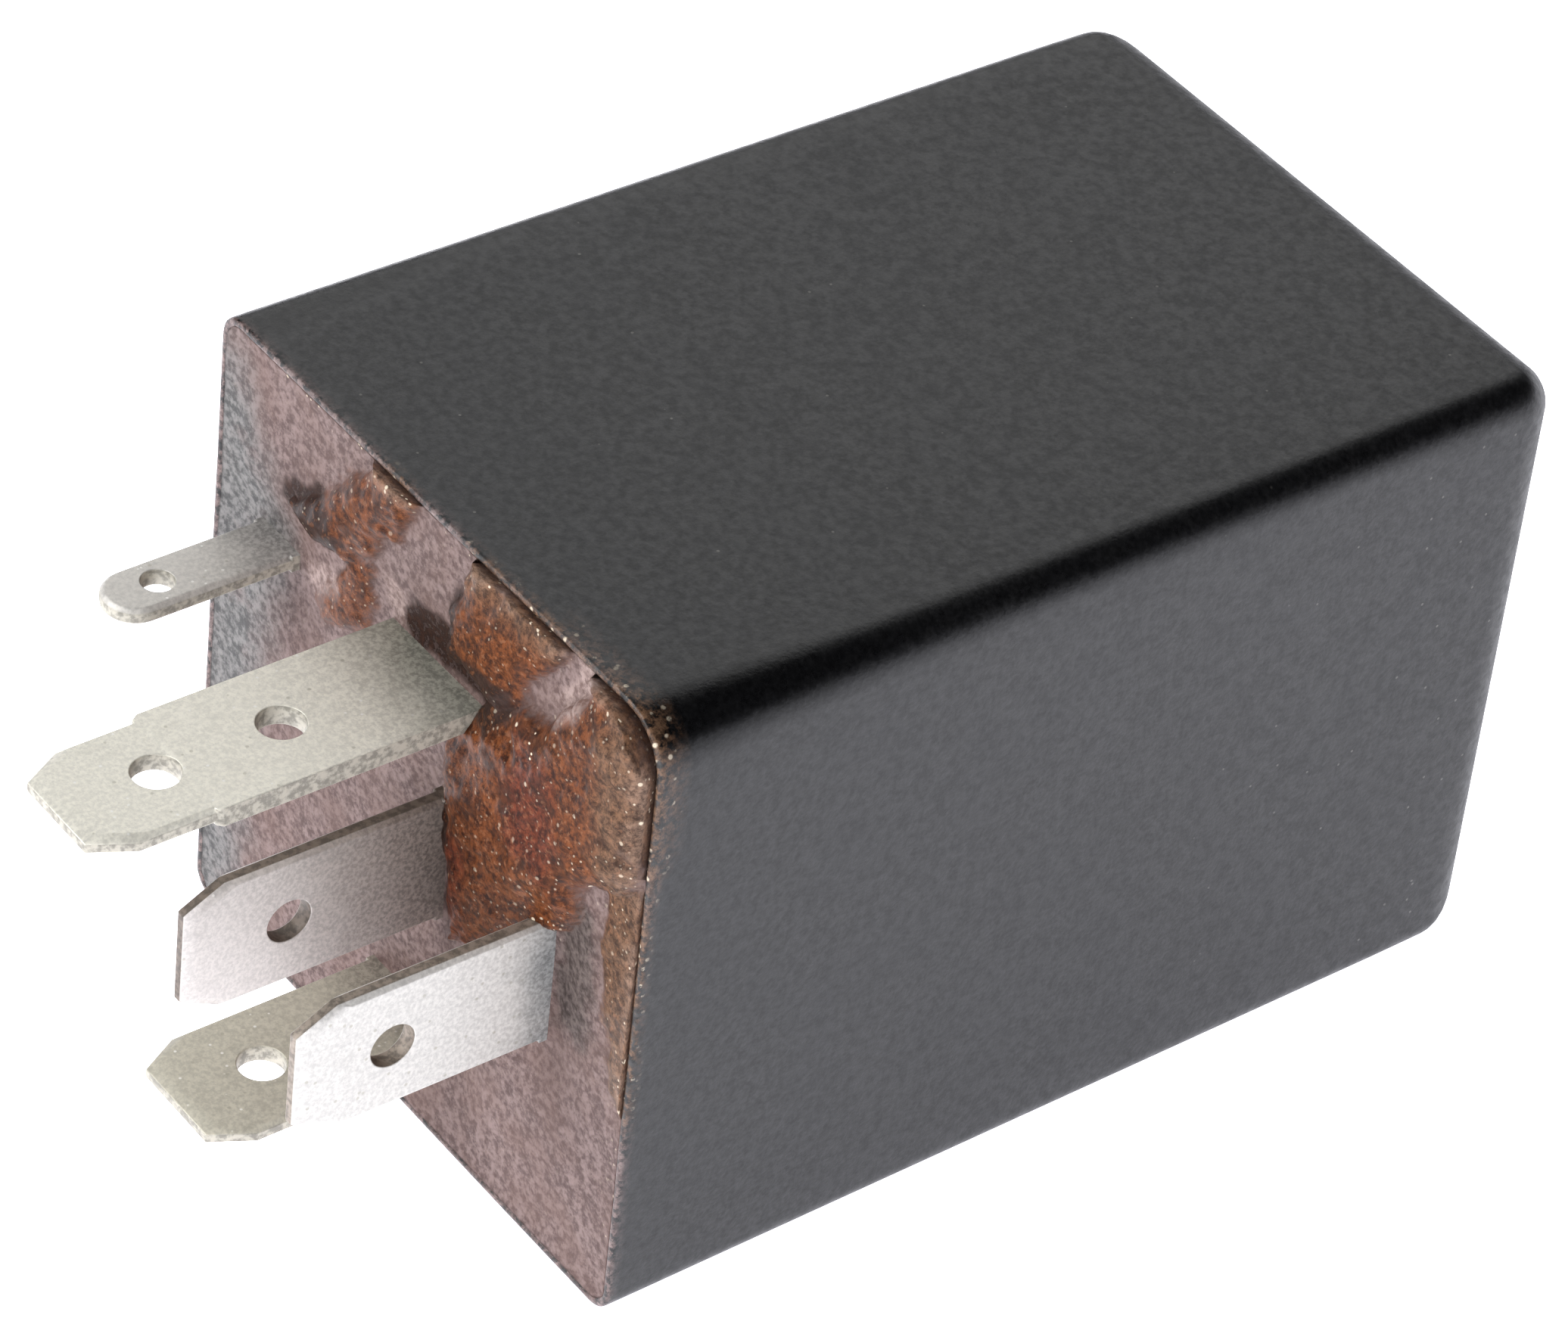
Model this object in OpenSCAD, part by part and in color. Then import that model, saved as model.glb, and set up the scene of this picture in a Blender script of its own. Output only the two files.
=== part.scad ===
// Plug-in relay with a push-on cover.
// Frame: the origin is the centre of the cover's open end. +Y runs into the cover, so the
// terminals point to -Y. +Z is up when the relay lies on one side, and +X is its right side.
// All sizes are in millimetres.

/* [Cover] */
// Outside width and height of the cover at its open end
cover_w = 30; // [29.5:0.1:30.5]
// Length of the cover from its open end to its closed end
cover_len = 45; // [44:0.5:50]
// Wall thickness of the cover
wall = 1.0; // [0.9:0.05:1.1]
// How much narrower each side is at the closed end, for release from the mould
draft = 0.3; // [0.1:0.05:0.3]
// Radius of the four long edges
long_edge_r = 1.2; // [1.0:0.1:1.6]
// Radius around the closed end
end_edge_r = 2.6; // [2.0:0.1:3.0]

/* [Terminals] */
// Width of the four wide blades
blade_w = 6.3; // [6.2:0.05:6.4]
// Thickness of every blade
blade_t = 0.8; // [0.75:0.01:0.85]
// Width of the narrow blade
narrow_w = 2.8; // [2.7:0.05:2.9]
// Diameter of the detent hole in a wide blade
blade_hole_d = 2.0; // [1.6:0.1:2.1]
// Diameter of the detent hole in the narrow blade
narrow_hole_d = 1.4; // [1.2:0.1:1.5]
// Reach of the long supply blade beyond the cover
long_reach = 16.8; // [16:0.1:18]
// Reach of the three ordinary blades beyond the cover
blade_reach = 11.4; // [11:0.1:12.5]
// Reach of the narrow blade beyond the cover
narrow_reach = 7.8; // [7.4:0.1:9]

/* [Magnet] */
// Angle that the armature swings through between open and pulled in
armature_swing = 3.5; // [3:0.1:3.5]
// Outside radius of the copper winding
winding_r = 6.0; // [5:0.1:6.2]
// Radius of the iron core
core_r = 2.6; // [2.2:0.1:2.6]
// Turns of the return spring
spring_turns = 13; // [8:1:15]

/* [Hidden] */

$fn = 48;
hull_fn = 32;
gap = 0.05;              // clearance between neighbouring solids
touch = 0.01;            // clearance between solids that rest on each other
over = 0.5;              // how far a cutter passes a face
lap = 0.5;               // how far one piece of a solid runs into the next

half_w = cover_w / 2;
cavity = half_w - wall;  // half width of the hollow at the open end
rim_chamfer = 0.55;      // width of the lead-in around the cover's mouth
chamfer_depth = 0.9;     // how far it runs in
end_steps = 6;           // slices in the rounding of the closed end
slice_t = 0.01;
inner_edge_r = long_edge_r - 0.6;
mouth_edge_r = long_edge_r - 0.3;

// Base and resin, along Y
resin_face = 0.15;
base_y0 = 1.25;
base_y1 = 3.25;

// Blade shape
tip_cut_y = 1.8;         // length of the corner cut at a blade's tip
tip_cut_x = 0.95;        // width of that cut
bevel = 0.2;             // coined bevel on each face of a blade
tip_bevel = 0.6;         // length of that bevel at the tip
blade_hole_y = -7.0;     // detent hole of the ordinary blades
long_hole1_y = -12.4;    // detent hole of the long blade
long_step_y = -11.3;     // where the long blade thickens
long_step = 0.3;         // length of the ramp up to that thickness
long_root_t = 0.94;      // its thickness from there to the base
long_tip_w = blade_w - 0.3;   // width of its thinner outer part
long_hole2_y = -6.8;     // its second hole
narrow_hole_y = -5.35;   // detent hole of the narrow blade

// Blade places in the open end: [x, z] of each blade's centre
supply_at = [0.3, 7.3];
control_at = [-10.7, 6.0];
ground_at = [1.5, -1.0];
make_at = [0.6, -9.9];
break_at = [8.8, -1.75];

// Magnet
coil_x = -2.6;
coil_z = -5.0;
core_clear = 0.05;
tube_wall = 0.55;
flange_half = 6.6;
flange_t = 1.0;
frame_y0 = 7.0;          // underside of the yoke's foot
foot_t = 1.6;
leg_x0 = -11.4;
leg_x1 = -9.6;
yoke_half_z = 5.5;
flange_y0 = frame_y0 + foot_t;
wind_y0 = flange_y0 + flange_t;
wind_y1 = 24.8;
pole_y0 = wind_y1 + flange_t;
pole_y1 = 26.9;
pole_r = 4.2;

// Armature hinge: a rounded bead along the yoke's tip in a groove of the armature
hinge_x = (leg_x0 + leg_x1) / 2;
hinge_y = 26.95;
bead_r = 0.35;
groove_r = bead_r + 0.05;
armature_y0 = 27.0;
armature_t = 1.5;
leaf_t = 0.3;
leaf_y0 = armature_y0 + armature_t + touch;
leaf_y1 = leaf_y0 + leaf_t;
tail_x = -12.7;          // the spring hooks in here
tail_hole_r = 0.45;
tail_end_x = tail_x - 0.8;
tail_half_z = 1.6;
core_rivet_r = 1.9;      // end of the core that is riveted into the yoke
leaf_rivet_r = 0.82;
leaf_rivet_hole_r = 0.85;

// Contacts
contact_x = 10.0;
contact_r = 1.5;
contact_head = 0.8;
contact_dome = 4.0;      // radius of the domed contact faces
rivet_hole_r = 0.75;
rivet_shank_r = 0.7;
contact_gap = 0.06;      // left between closed contacts

// Carriers of the fixed contacts
strip_t = 0.8;
make_flag_y = 26.1;
break_flag_y = 31.75;
break_strip_x = 12.5;

// Circuit board
board_x0 = -13.0;
board_x1 = 7.5;
board_y0 = 5.5;
board_y1 = 41.0;
board_z0 = 4.15;
board_z1 = 5.55;
lead_r = 0.3;
lead_hole_r = 0.42;
lead_below = 1.0;        // length of a lead under the board
pin_r = 0.35;
pin_y = 9.4;
pin_xs = [-7.0, 2.6];
pin_z0 = 1.05;

// Board components: [x, y] of each centre
chip_at = [-6.0, 17.0];
chip_size = [9.4, 6.3, 3.3];
chip_z0 = board_z1 + 0.5;
chip_pitch = 2.54;
chip_row = 3.81;
can_at = [3.4, 16.5];
can_r = 3.15;
can_h = 7.0;
can_z0 = board_z1 + 0.2;
can_lead = 1.25;
film_at = [1.0, 25.6];
film_size = [3.4, 7.2, 6.4];
film_z0 = board_z1 + 0.15;
film_lead = 2.5;
transistor_at = [0.9, 36.2];
transistor_size = [7.8, 9.2, 2.7];
transistor_z0 = board_z1 + 0.3;
transistor_pitch = 2.3;
transistor_lead_y = 30.4;
resistor_x = -7.4;
resistor_ys = [24.2, 27.4, 30.6];
resistor_lead = 4.7;
resistor_r = 1.15;
resistor_len = 6.3;
zener_at = [-7.4, 33.8];
zener_lead = 3.5;
zener_r = 0.95;
zener_len = 3.8;
diode_at = [5.4, 25.5];
diode_lead = 4.3;
diode_r = 1.3;
diode_len = 5.2;

// Braid
braid_r = 0.85;
ferrule_bore = braid_r + 0.05;
ferrule_wall = 0.35;
ferrule_foot = 1.2;               // half width of a ferrule's foot
supply_ferrule_at = [9.8, 9.2];   // x, z of its bore, which runs along Y
leaf_ferrule_x = 6.3;             // its bore runs along Z
leaf_ferrule_y = leaf_y1 + ferrule_bore + ferrule_wall;

// ---- helpers ----

module block(lo, hi) { translate(lo) cube(hi - lo); }

module rod_x(r, x0, x1, y, z) { translate([x0, y, z]) rotate([0, 90, 0]) cylinder(h = x1 - x0, r = r); }
module rod_y(r, y0, y1, x, z) { translate([x, y0, z]) rotate([-90, 0, 0]) cylinder(h = y1 - y0, r = r); }
module rod_z(r, z0, z1, x, y) { translate([x, y, z0]) cylinder(h = z1 - z0, r = r); }

// Turns a shape drawn with the armature pulled in to its open rest place
module open_pose() {
    translate([hinge_x, hinge_y, 0]) rotate([0, 0, armature_swing])
        translate([-hinge_x, -hinge_y, 0]) children();
}

// The same turn for one point
function opened(p) =
    let (d = [p[0] - hinge_x, p[1] - hinge_y], c = cos(armature_swing), s = sin(armature_swing))
    [hinge_x + d[0] * c - d[1] * s, hinge_y + d[0] * s + d[1] * c, p[2]];

// Round wire swept along a list of points
function unit(v) = v / norm(v);
function tangent(pts, i) = unit(pts[min(i + 1, len(pts) - 1)] - pts[max(i - 1, 0)]);
function side_of(t, aim) = unit(cross(t, aim));

module wire(pts, r, sides = 10, aim = [0.31, 0.17, 0.94]) {
    n = len(pts);
    rings = [
        for (i = [0:n - 1])
            let (t = tangent(pts, i), u = side_of(t, aim), v = cross(t, u))
            for (k = [0:sides - 1])
                pts[i] + r * (cos(360 * k / sides) * u + sin(360 * k / sides) * v)
    ];
    walls = [
        for (i = [0:n - 2], k = [0:sides - 1])
            let (a = i * sides + k, b = i * sides + (k + 1) % sides)
            each [[a, a + sides, b + sides], [a, b + sides, b]]
    ];
    near_end = [[for (k = [0:sides - 1]) k]];
    far_end = [[for (k = [sides - 1:-1:0]) (n - 1) * sides + k]];
    polyhedron(points = rings, faces = concat(walls, near_end, far_end), convexity = 10);
}

// Smooth curve through control points
function blend(a, b, c, d, t) = 0.5 * (2 * b + (c - a) * t + (2 * a - 5 * b + 4 * c - d) * t * t
    + (3 * b - a - 3 * c + d) * t * t * t);
function curve(p, steps) = concat(
    [for (i = [0:len(p) - 2], s = [0:steps - 1])
        blend(p[max(i - 1, 0)], p[i], p[i + 1], p[min(i + 2, len(p) - 1)], s / steps)],
    [p[len(p) - 1]]);

// ---- cover ----

// Square with rounded corners, in the plane of the sheet
module rounded_square(half, r) {
    square([2 * half - 2 * r, 2 * half], center = true);
    square([2 * half, 2 * half - 2 * r], center = true);
    for (x = [-1, 1], z = [-1, 1]) translate([x * (half - r), z * (half - r)]) circle(r);
}

// Rounded square with its thickness along Y
module rounded_square_y(half, r, y0, y1) {
    translate([0, y1, 0]) rotate([90, 0, 0]) linear_extrude(y1 - y0) rounded_square(half, r);
}

// Thin slice of the cover, across Y
module slice(y, half, r) { rounded_square_y(half, r, y, y + slice_t, $fn = hull_fn); }

// Solid with draft and a rounded closed end
module capped_block(y0, y1, half0, half1, r, end_r) {
    hull() {
        slice(y0, half0, r);
        for (i = [0:end_steps])
            let (a = 90 * i / end_steps)
            slice(y1 - end_r + end_r * sin(a) - slice_t, half1 - end_r * (1 - cos(a)), r);
    }
}

module cover() {
    color("#3b3b3d") difference() {
        capped_block(0, cover_len, half_w, half_w - draft, long_edge_r, end_edge_r);
        capped_block(-over, cover_len - wall, cavity, cavity - draft, inner_edge_r, end_edge_r - wall);
        hull() {
            slice(-slice_t, cavity + rim_chamfer, mouth_edge_r);
            slice(chamfer_depth, cavity - slice_t, inner_edge_r);
        }
    }
}

// ---- terminals ----

// Outline of a blade that points to -Y from the origin, full width at y = 0
module blade_outline(w, reach, inset) {
    half = w / 2 - inset;
    tip = -reach + inset * tip_bevel / bevel;
    cut = max(tip_cut_x - inset * 0.3, 0.1);
    polygon([
        [-half, 0], [-half, tip + tip_cut_y], [-half + cut, tip],
        [half - cut, tip], [half, tip + tip_cut_y], [half, 0]
    ]);
}

module centred_plate(t) { translate([0, 0, -t / 2]) linear_extrude(t) children(); }

// Wide blade with bevelled edges and one detent hole
module wide_blade(reach) {
    difference() {
        hull() {
            centred_plate(blade_t - 2 * bevel) blade_outline(blade_w, reach, 0);
            centred_plate(blade_t) blade_outline(blade_w, reach, bevel);
        }
        rod_z(blade_hole_d / 2, -blade_t, blade_t, 0, blade_hole_y);
    }
}

// Puts a flat shape on edge, standing along Z
module on_edge() { rotate([0, 90, 0]) children(); }

// Flat bar from a place along Y up to the cover's open end, centred on X and Z
module wide_box(w, y0, t) { block([-w / 2, y0, -t / 2], [w / 2, 0, t / 2]); }

module supply_terminal() {
    x = supply_at[0];
    z = supply_at[1];
    z0 = z - long_root_t / 2;
    z1 = z + long_root_t / 2;
    left = x - blade_w / 2;
    right = x + blade_w / 2;
    plate_y1 = 7.5;
    arm_y0 = 4.2;
    arm_x1 = supply_ferrule_at[0] + 1.4;
    tab_x1 = left + 2.2;
    tab_y0 = 8.5;
    tab_y1 = 9.3;
    color("#c9cbc4") union() {
        translate([x, 0, z]) difference() {
            union() {
                hull() {
                    centred_plate(blade_t - 2 * bevel) blade_outline(long_tip_w, long_reach, 0);
                    centred_plate(blade_t) blade_outline(long_tip_w, long_reach, bevel);
                }
                hull() {
                    wide_box(long_tip_w, long_step_y - long_step, blade_t);
                    wide_box(blade_w, long_step_y, long_root_t);
                }
            }
            rod_z(blade_hole_d / 2, -over - 1, over + 1, 0, long_hole1_y);
            rod_z(blade_hole_d / 2, -over - 1, over + 1, 0, long_hole2_y);
        }
        block([left, -touch, z0], [right, plate_y1, z1]);
        block([right - lap, arm_y0, z0], [arm_x1, plate_y1, z1]);
        block([left, plate_y1 - 0.1, z0], [tab_x1, tab_y1, z1]);
        block([left, tab_y0, board_z1 + gap], [tab_x1, tab_y1, z1]);
    }
}

module control_terminal() {
    r = narrow_w / 2;
    tip_y = -narrow_reach + r;
    inner_w = 2.0;
    color("#c9cbc4") translate([control_at[0], 0, control_at[1]]) difference() {
        union() {
            hull() {
                rod_z(r, -blade_t / 2 + bevel, blade_t / 2 - bevel, 0, tip_y, $fn = hull_fn);
                rod_z(r - bevel, -blade_t / 2, blade_t / 2, 0, tip_y, $fn = hull_fn);
                wide_box(2 * r, -0.1, blade_t - 2 * bevel);
                wide_box(2 * r - 2 * bevel, -0.1, blade_t);
            }
            block([-r, -touch, -blade_t / 2], [r, base_y1 + 1, blade_t / 2]);
            block([-inner_w / 2, base_y1, -blade_t / 2], [inner_w / 2, pin_y, blade_t / 2]);
        }
        rod_z(narrow_hole_d / 2, -blade_t, blade_t, 0, narrow_hole_y);
    }
}

module ground_terminal() {
    x = ground_at[0];
    z = ground_at[1];
    t = blade_t / 2;
    w = blade_w / 2;
    plate_y1 = 6.2;
    tab_y0 = 3.8;
    color("#b9bab8") union() {
        translate([x, 0, z]) on_edge() wide_blade(blade_reach + 0.4);
        block([x - t, -touch, z - w], [x + t, plate_y1, z + w]);
        block([x - t, tab_y0, z + w - lap], [x + t, plate_y1, board_z1 + 0.7]);
    }
}

module make_terminal() {
    x = make_at[0];
    z = make_at[1];
    t = blade_t / 2;
    w = blade_w / 2;
    plate_y1 = 6.0;
    arm_y0 = 4.0;
    strip_x0 = 6.4;
    strip_x1 = 12.2;
    flag_x0 = contact_x - 2.2;
    flag_y1 = make_flag_y + strip_t;
    flag_z1 = coil_z + 2.3;
    color("#c0c1b8") difference() {
        union() {
            translate([x, 0, z]) wide_blade(blade_reach - 0.4);
            block([x - w, -touch, z - t], [x + w, plate_y1, z + t]);
            block([x + w - lap, arm_y0, z - t], [strip_x1, plate_y1, z + t]);
            block([strip_x0, plate_y1 - lap, z - t], [strip_x1, flag_y1, z + t]);
            block([flag_x0, make_flag_y, z - t], [strip_x1, flag_y1, flag_z1]);
        }
        rod_y(rivet_hole_r, make_flag_y - over, flag_y1 + over, contact_x, coil_z);
    }
}

module break_terminal() {
    x = break_at[0];
    z = break_at[1];
    t = blade_t / 2;
    w = blade_w / 2;
    step_y = 4.6;
    strip_z0 = coil_z - 1.9;
    strip_z1 = coil_z + 3.0;
    flag_half_x = 2.0;
    flag_z0 = coil_z - 1.7;
    flag_z1 = coil_z + 1.9;
    outer_x = break_strip_x + strip_t;
    flag_y1 = break_flag_y + strip_t;
    rest_x = opened([contact_x, leaf_y1 + contact_head, 0])[0];
    color("#d2d4cf") difference() {
        union() {
            translate([x, 0, z]) on_edge() wide_blade(blade_reach);
            block([x - t, -touch, z - w], [x + t, step_y + strip_t, z + w]);
            block([x - t, step_y, strip_z0], [outer_x, step_y + strip_t, strip_z1]);
            block([break_strip_x, step_y, strip_z0], [outer_x, flag_y1, strip_z1]);
            block([rest_x - flag_half_x, break_flag_y, flag_z0], [outer_x, flag_y1, flag_z1]);
        }
        rod_y(rivet_hole_r, break_flag_y - over, flag_y1 + over, rest_x, coil_z);
    }
}

// Box centred on a blade's place, between two places along Y
module slot_y(at, half_x, half_z, y0, y1) {
    block([at[0] - half_x, y0, at[1] - half_z], [at[0] + half_x, y1, at[1] + half_z]);
}

// Cutter around every terminal where it passes the base and the resin
module terminal_slots(y0, y1) {
    t = blade_t / 2 + gap;
    w = blade_w / 2 + gap;
    long_t = long_root_t / 2 + gap;
    narrow = narrow_w / 2 + gap;
    slot_y(supply_at, w, long_t, y0, y1);
    slot_y(control_at, narrow, t, y0, y1);
    slot_y(ground_at, t, w, y0, y1);
    slot_y(make_at, w, t, y0, y1);
    slot_y(break_at, t, w, y0, y1);
}

// ---- base and resin ----

screw_at = [[-7.5, -9.0], [-7.5, -1.2]];
screw_head_r = 1.5;
screw_r = 0.9;
boss_r = 1.75;
screw_recess = 1.0;      // depth of the round recess for a screw head

module base_plate() {
    left_post = [board_x0 - 0.4, -12.4];
    right_post = [board_x1 - 0.8, board_x1 + 0.7];
    post_y1 = 9.0;
    post_z0 = 2.6;
    post_z1 = 6.5;
    color("#7a4a33") difference() {
        union() {
            rounded_square_y(cavity - gap - 0.03, long_edge_r - 0.5, base_y0, base_y1);
            for (p = screw_at) rod_y(boss_r, base_y1 - 0.1, frame_y0 - touch, p[0], p[1]);
            for (p = [left_post, right_post])
                block([p[0], base_y1 - 0.1, post_z0], [p[1], post_y1, post_z1]);
        }
        terminal_slots(base_y0 - over, base_y1 + over);
        block([board_x0 - gap, board_y0 - gap, board_z0 - gap], [board_x1 + gap, board_y1, board_z1 + gap]);
        for (p = screw_at) {
            rod_y(screw_r + gap, base_y0 - over, frame_y0 + over, p[0], p[1]);
            rod_y(screw_head_r + gap, base_y0 - over, base_y0 + screw_recess, p[0], p[1]);
        }
    }
}

module frame_screws() {
    color("#a8a9a6") for (p = screw_at) {
        rod_y(screw_head_r, base_y0 + gap, base_y0 + screw_recess - gap, p[0], p[1]);
        rod_y(screw_r, base_y0 + screw_recess - 0.1, frame_y0 + foot_t - 0.1, p[0], p[1]);
    }
}

module potting_resin() {
    lip = cavity + rim_chamfer - 0.2;
    color("#8d7770") difference() {
        union() {
            rounded_square_y(cavity - gap, long_edge_r - 0.5, resin_face, base_y0 - touch);
            rounded_square_y(lip, long_edge_r - 0.5, resin_face - 0.1, resin_face + 0.05);
        }
        terminal_slots(-over, base_y0 + over);
    }
}

// Each bead is the cap of a ball: [x, z, radius of its foot, height]
beads = [
    [-5.2, 11.0, 3.0, 0.9], [-2.9, 13.0, 1.4, 0.5], [-5.6, 7.2, 1.4, 0.4], [6.2, 12.0, 2.3, 0.9],
    [9.3, 9.0, 4.8, 1.5], [5.8, 2.2, 3.8, 1.1], [12.7, 3.2, 1.5, 0.4], [12.7, 0.6, 1.5, 0.4]
];

module bead(foot, height) {
    ball = (foot * foot + height * height) / (2 * height);
    intersection() {
        translate([0, ball - height, 0]) sphere(ball, $fn = 160);
        block([-foot - 1, -height - 1, -foot - 1], [foot + 1, 0, foot + 1]);
    }
}

module resin_beads() {
    color("#8a4526") difference() {
        union() for (b = beads) translate([b[0], resin_face - 0.11, b[1]]) bead(b[2], b[3]);
        terminal_slots(-4, 1);
    }
}

// ---- magnet ----

module yoke() {
    z0 = coil_z - yoke_half_z;
    z1 = coil_z + yoke_half_z;
    tip_y = hinge_y - 0.2;
    foot_x1 = coil_x + 4.6;
    foot_y1 = frame_y0 + foot_t;
    tab_y = 13.0;
    tab_t = 0.9;
    color("#9b9c9a") difference() {
        union() {
            block([leg_x0, frame_y0, z0], [foot_x1, foot_y1, z1]);
            block([leg_x0, frame_y0, z0], [leg_x1, tip_y, z1]);
            rod_z(bead_r, z0, z1, hinge_x, hinge_y);
            block([hinge_x - bead_r, tip_y - 0.2, z0], [hinge_x + bead_r, hinge_y - 0.05, z1]);
            block([tail_end_x, tab_y, coil_z - tail_half_z],
                [leg_x0 + 0.1, tab_y + tab_t, coil_z + tail_half_z]);
        }
        rod_y(core_rivet_r + gap, frame_y0 - over, foot_y1 + over, coil_x, coil_z);
        for (p = screw_at) rod_y(screw_r + gap, frame_y0 - over, foot_y1 + over, p[0], p[1]);
        rod_y(tail_hole_r, tab_y - over, tab_y + tab_t + over, tail_x, coil_z);
    }
}

module core() {
    rivet_head_r = 2.3;
    rivet_head_t = 0.48;
    head_y1 = frame_y0 - 2 * touch;
    color("#b4b5b3") union() {
        rod_y(pole_r, pole_y0 + touch, pole_y1, coil_x, coil_z);
        rod_y(core_r, flange_y0 + touch, pole_y0 + 0.1, coil_x, coil_z);
        rod_y(core_rivet_r, head_y1 - rivet_head_t / 2, flange_y0 + 0.1, coil_x, coil_z);
        rod_y(rivet_head_r, head_y1 - rivet_head_t, head_y1, coil_x, coil_z);
    }
}

module flange(y0) {
    translate([coil_x, 0, coil_z]) rounded_square_y(flange_half, 1.2, y0, y0 + flange_t);
}

module bobbin() {
    post_half = 1.2;
    post_y1 = pin_y + 0.9;
    post_z1 = 3.2;
    color("#e8e2cf") difference() {
        union() {
            flange(flange_y0 + touch);
            flange(wind_y1);
            rod_y(core_r + core_clear + tube_wall, flange_y0 + lap, pole_y0 - lap, coil_x, coil_z);
            for (x = pin_xs)
                block([x - post_half, flange_y0 + touch, coil_z + flange_half - 1],
                    [x + post_half, post_y1, post_z1]);
        }
        rod_y(core_r + core_clear, flange_y0 - over, pole_y0 + over, coil_x, coil_z);
        rod_y(winding_r, wind_y0 + touch, wind_y0 + 2, coil_x, coil_z);
        for (x = pin_xs) rod_z(pin_r + 0.02, pin_z0 - gap, post_z1 + over, x, pin_y);
    }
}

module coil_winding() {
    color("#a8502a") difference() {
        rod_y(winding_r - touch, wind_y0 + 2 * touch, wind_y1 - touch, coil_x, coil_z);
        rod_y(core_r + core_clear + tube_wall + touch, wind_y0 - over, wind_y1 + over, coil_x, coil_z);
    }
}

module coil_pins() {
    color("#c8c9c4") for (x = pin_xs) rod_z(pin_r, pin_z0, board_z1 + 0.9, x, pin_y);
}

// Enamelled wire ends, from the winding up to a few turns around each pin
module coil_leads() {
    wire_r = 0.12;
    wrap_r = pin_r + wire_r + 0.02;
    wrap_z = 3.38;
    wrap_pitch = 0.25;
    wrap_steps = 20;
    turn_steps = 10;
    color("#a8502a") for (x = pin_xs) {
        start_z = coil_z + sqrt(pow(winding_r + 0.2, 2) - pow(x - coil_x, 2));
        run = curve([
            [x, wind_y0 + 2.6, start_z], [x + wrap_r, pin_y + 2.0, wrap_z],
            [x + wrap_r, pin_y + 0.8, wrap_z], [x + wrap_r, pin_y, wrap_z]
        ], 4);
        wrap = [
            for (k = [1:wrap_steps])
                let (a = 360 * k / turn_steps)
                [x + wrap_r * cos(a), pin_y + wrap_r * sin(a), wrap_z + wrap_pitch * k / turn_steps]
        ];
        wire(concat(run, wrap), wire_r, 6, [0.3, 1, 0.2]);
    }
}

// ---- armature and moving contact, drawn pulled in and then opened ----

rivet_xs = [-6.6, 1.6];

module armature() {
    z_half = 5.0;
    y1 = armature_y0 + armature_t;
    pivot_x0 = leg_x0 - 0.2;
    pivot_x1 = -8.4;
    nose_x = 1.4;
    nose_r = 1.5;
    color("#a3a4a2") open_pose() difference() {
        union() {
            block([pivot_x0, armature_y0, coil_z - yoke_half_z], [pivot_x1, y1, coil_z + yoke_half_z]);
            block([pivot_x1 - 0.1, armature_y0, coil_z - z_half], [nose_x, y1, coil_z + z_half]);
            block([nose_x - 0.1, armature_y0, coil_z - z_half + nose_r],
                [nose_x + nose_r, y1, coil_z + z_half - nose_r]);
            for (s = [-1, 1]) rod_y(nose_r, armature_y0, y1, nose_x, coil_z + s * (z_half - nose_r));
            block([tail_end_x, armature_y0, coil_z - tail_half_z], [leg_x0, y1, coil_z + tail_half_z]);
        }
        rod_z(groove_r, coil_z - 8, coil_z + 8, hinge_x, hinge_y);
        for (x = rivet_xs) rod_y(leaf_rivet_hole_r, armature_y0 - over, y1 + over, x, coil_z);
        rod_y(tail_hole_r, armature_y0 - over, y1 + over, tail_x, coil_z);
    }
}

module contact_leaf() {
    x0 = -8.2;
    neck_x = 3.4;
    wide_half = 3.2;
    neck_half = 2.0;
    ear_half = 1.4;
    color("#c58a4a") open_pose() difference() {
        union() {
            block([x0, leaf_y0, coil_z - wide_half], [neck_x, leaf_y1, coil_z + wide_half]);
            block([neck_x - 0.1, leaf_y0, coil_z - neck_half], [contact_x, leaf_y1, coil_z + neck_half]);
            block([leaf_ferrule_x - ear_half, leaf_y0, coil_z + neck_half - 0.1],
                [leaf_ferrule_x + ear_half, leaf_y1, coil_z + 4.2]);
            rod_y(neck_half, leaf_y0, leaf_y1, contact_x, coil_z);
        }
        for (x = rivet_xs) rod_y(leaf_rivet_hole_r, leaf_y0 - over, leaf_y1 + over, x, coil_z);
        rod_y(rivet_hole_r, leaf_y0 - over, leaf_y1 + over, contact_x, coil_z);
    }
}

module leaf_rivets() {
    head_r = 1.35;
    color("#b9bab8") open_pose() for (x = rivet_xs) {
        rod_y(leaf_rivet_r, armature_y0 + 2 * touch, leaf_y1 + 0.1, x, coil_z);
        translate([x, leaf_y1 + touch, coil_z]) rotate([180, 0, 0]) bead(head_r, 0.5);
    }
}

// Contact head with a domed face towards -Y, standing on y = 0
module contact_cap(r, h) {
    intersection() {
        rod_y(r, -h, 0, 0, 0);
        translate([0, contact_dome - h, 0]) sphere(contact_dome);
    }
}

module moving_contact() {
    color("#d9d4c4") open_pose() translate([contact_x, 0, coil_z]) union() {
        translate([0, leaf_y0 - touch, 0]) contact_cap(contact_r, contact_head);
        translate([0, leaf_y1 + touch, 0]) rotate([180, 0, 0]) contact_cap(contact_r, contact_head);
        rod_y(rivet_shank_r, leaf_y0 - 0.2, leaf_y1 + 0.2, 0, 0);
    }
}

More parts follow.
